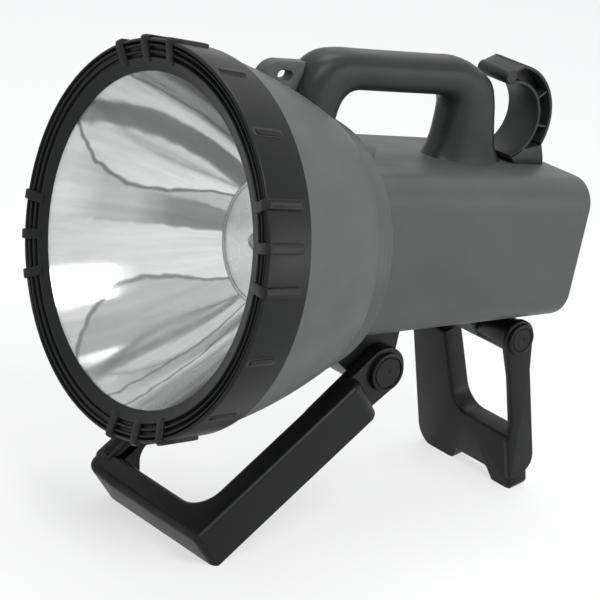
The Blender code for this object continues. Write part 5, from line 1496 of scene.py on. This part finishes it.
@dataclass(frozen=True)
class SoftLight:
    """A soft square light: where it stands, what it points at, its side and its power in watts."""

    name: str
    place: Triple
    target: Triple
    size: float
    power: float

    def build(self) -> None:
        """Make the light."""
        data = bpy.data.lights.new(self.name, "AREA")
        data.shape, data.size, data.energy = "SQUARE", self.size, self.power
        light = bpy.data.objects.new(self.name, data)
        aim = (Vector(self.place) - Vector(self.target)).to_track_quat("Z", "Y").to_matrix().to_4x4()
        light.matrix_world = Matrix.Translation(self.place) @ aim
        bpy.context.scene.collection.objects.link(light)


@dataclass
class Studio:
    """A pale floor, soft lights and the camera at the photograph's angle."""

    azimuth: float = 47.99
    elevation: float = 14.86
    roll: float = 12.30
    lens: float = 161.34
    position: Triple = (1.1443, -0.9075, 0.3723)
    world_strength: float = 0.55
    floor_white: float = 0.65
    lights: tuple[SoftLight, ...] = (
        SoftLight("key", (1.05, -0.3, 1.4), (0.0, 0.0, 0.12), 0.7, 13.0),
        SoftLight("top", (-0.3, 0.35, 1.7), (0.0, 0.0, 0.15), 0.9, 12.0),
        SoftLight("side", (1.2, 1.0, 0.22), (0.0, 0.0, 0.18), 0.7, 6.0))

    def camera(self) -> None:
        """Set the camera, given in the lamp's frame, and make it the scene's."""
        az, el, roll = (math.radians(angle) for angle in (self.azimuth, self.elevation, self.roll))
        look = Vector((-math.sin(az) * math.cos(el), math.cos(az) * math.cos(el), -math.sin(el)))
        right = Vector((math.cos(az), math.sin(az), 0.0))
        up = right.cross(look)
        across = right * math.cos(roll) + up * math.sin(roll)
        upright = up * math.cos(roll) - right * math.sin(roll)
        turn = Matrix((across, upright, -look)).transposed().to_4x4()
        data = bpy.data.cameras.new("camera")
        data.lens, data.sensor_width, data.clip_start = self.lens, 36.0, 0.01
        viewer = bpy.data.objects.new("camera", data)
        viewer.matrix_world = STANCE @ Matrix.Translation(self.position) @ turn
        bpy.context.scene.collection.objects.link(viewer)
        bpy.context.scene.camera = viewer

    def looking(self, tree: bpy.types.NodeTree) -> Socket:
        """Tell the rays that the camera, reflections and clear pieces look along from those that light.

        Args:
            tree: The node tree to add the nodes to.

        Returns:
            The socket that is 1 for the looking rays.
        """
        path = tree.nodes.new("ShaderNodeLightPath")
        found = path.outputs["Is Camera Ray"]
        for ray in ("Is Glossy Ray", "Is Transmission Ray"):
            either = tree.nodes.new("ShaderNodeMath")
            either.operation = "MAXIMUM"
            tree.links.new(found, either.inputs[0])
            tree.links.new(path.outputs[ray], either.inputs[1])
            found = either.outputs[0]
        return found

    def world(self) -> None:
        """White where the camera and reflections look, softer as a light."""
        world = bpy.data.worlds.new("studio")
        world.use_nodes = True
        tree = world.node_tree
        tree.nodes.clear()
        out = tree.nodes.new("ShaderNodeOutputWorld")
        light, white = tree.nodes.new("ShaderNodeBackground"), tree.nodes.new("ShaderNodeBackground")
        mix = tree.nodes.new("ShaderNodeMixShader")
        light.inputs["Color"].default_value = (0.93, 0.96, 1.0, 1.0)
        light.inputs["Strength"].default_value = self.world_strength
        white.inputs["Color"].default_value = (1.0, 1.0, 1.0, 1.0)
        white.inputs["Strength"].default_value = 1.0
        for source, target in (
                (self.looking(tree), mix.inputs["Fac"]), (light.outputs[0], mix.inputs[1]),
                (white.outputs[0], mix.inputs[2]), (mix.outputs[0], out.inputs["Surface"])):
            tree.links.new(source, target)
        bpy.context.scene.world = world

    def floor(self) -> None:
        """A wide pale floor that keeps the lamp's shadow and reads as white further out."""
        grid = bmesh.new()
        bmesh.ops.create_grid(grid, x_segments=1, y_segments=1, size=6.0)
        mesh = bpy.data.meshes.new("floor")
        grid.to_mesh(mesh)
        grid.free()
        plane = bpy.data.objects.new("floor", mesh)
        bpy.context.scene.collection.objects.link(plane)
        material = bpy.data.materials.new("floor_pale")
        material.use_nodes = True
        tree = material.node_tree
        shader, out = tree.nodes["Principled BSDF"], tree.nodes["Material Output"]
        shader.inputs["Base Color"].default_value = (0.95, 0.95, 0.95, 1.0)
        shader.inputs["Roughness"].default_value = 0.9
        shader.inputs["Specular IOR Level"].default_value = 0.0
        white, mix = tree.nodes.new("ShaderNodeEmission"), tree.nodes.new("ShaderNodeMixShader")
        share = tree.nodes.new("ShaderNodeMath")
        share.operation = "MULTIPLY"
        share.inputs[1].default_value = self.floor_white
        for source, target in (
                (self.looking(tree), share.inputs[0]), (share.outputs[0], mix.inputs["Fac"]),
                (shader.outputs["BSDF"], mix.inputs[1]), (white.outputs["Emission"], mix.inputs[2]),
                (mix.outputs[0], out.inputs["Surface"])):
            tree.links.new(source, target)
        mesh.materials.append(material)

    def build(self) -> None:
        """Set up world, floor, lights and camera."""
        bpy.context.scene.view_settings.view_transform = "Standard"
        self.world()
        self.floor()
        for light in self.lights:
            light.build()
        self.camera()


def main() -> None:
    """Build the lamp and its studio in order."""
    logging.basicConfig(level=logging.INFO, format="%(message)s")
    for part in (Studio(), Ring(), Optics(), HeadShell(), Housing(), Handle(), StrapEye(), Hook(),
                 FrontStand(), RearStand(), KeptNodes()):
        part.build()
        LOG.info("built %s", type(part).__name__)
    bpy.context.view_layer.update()


if __name__ == "__main__":
    main()
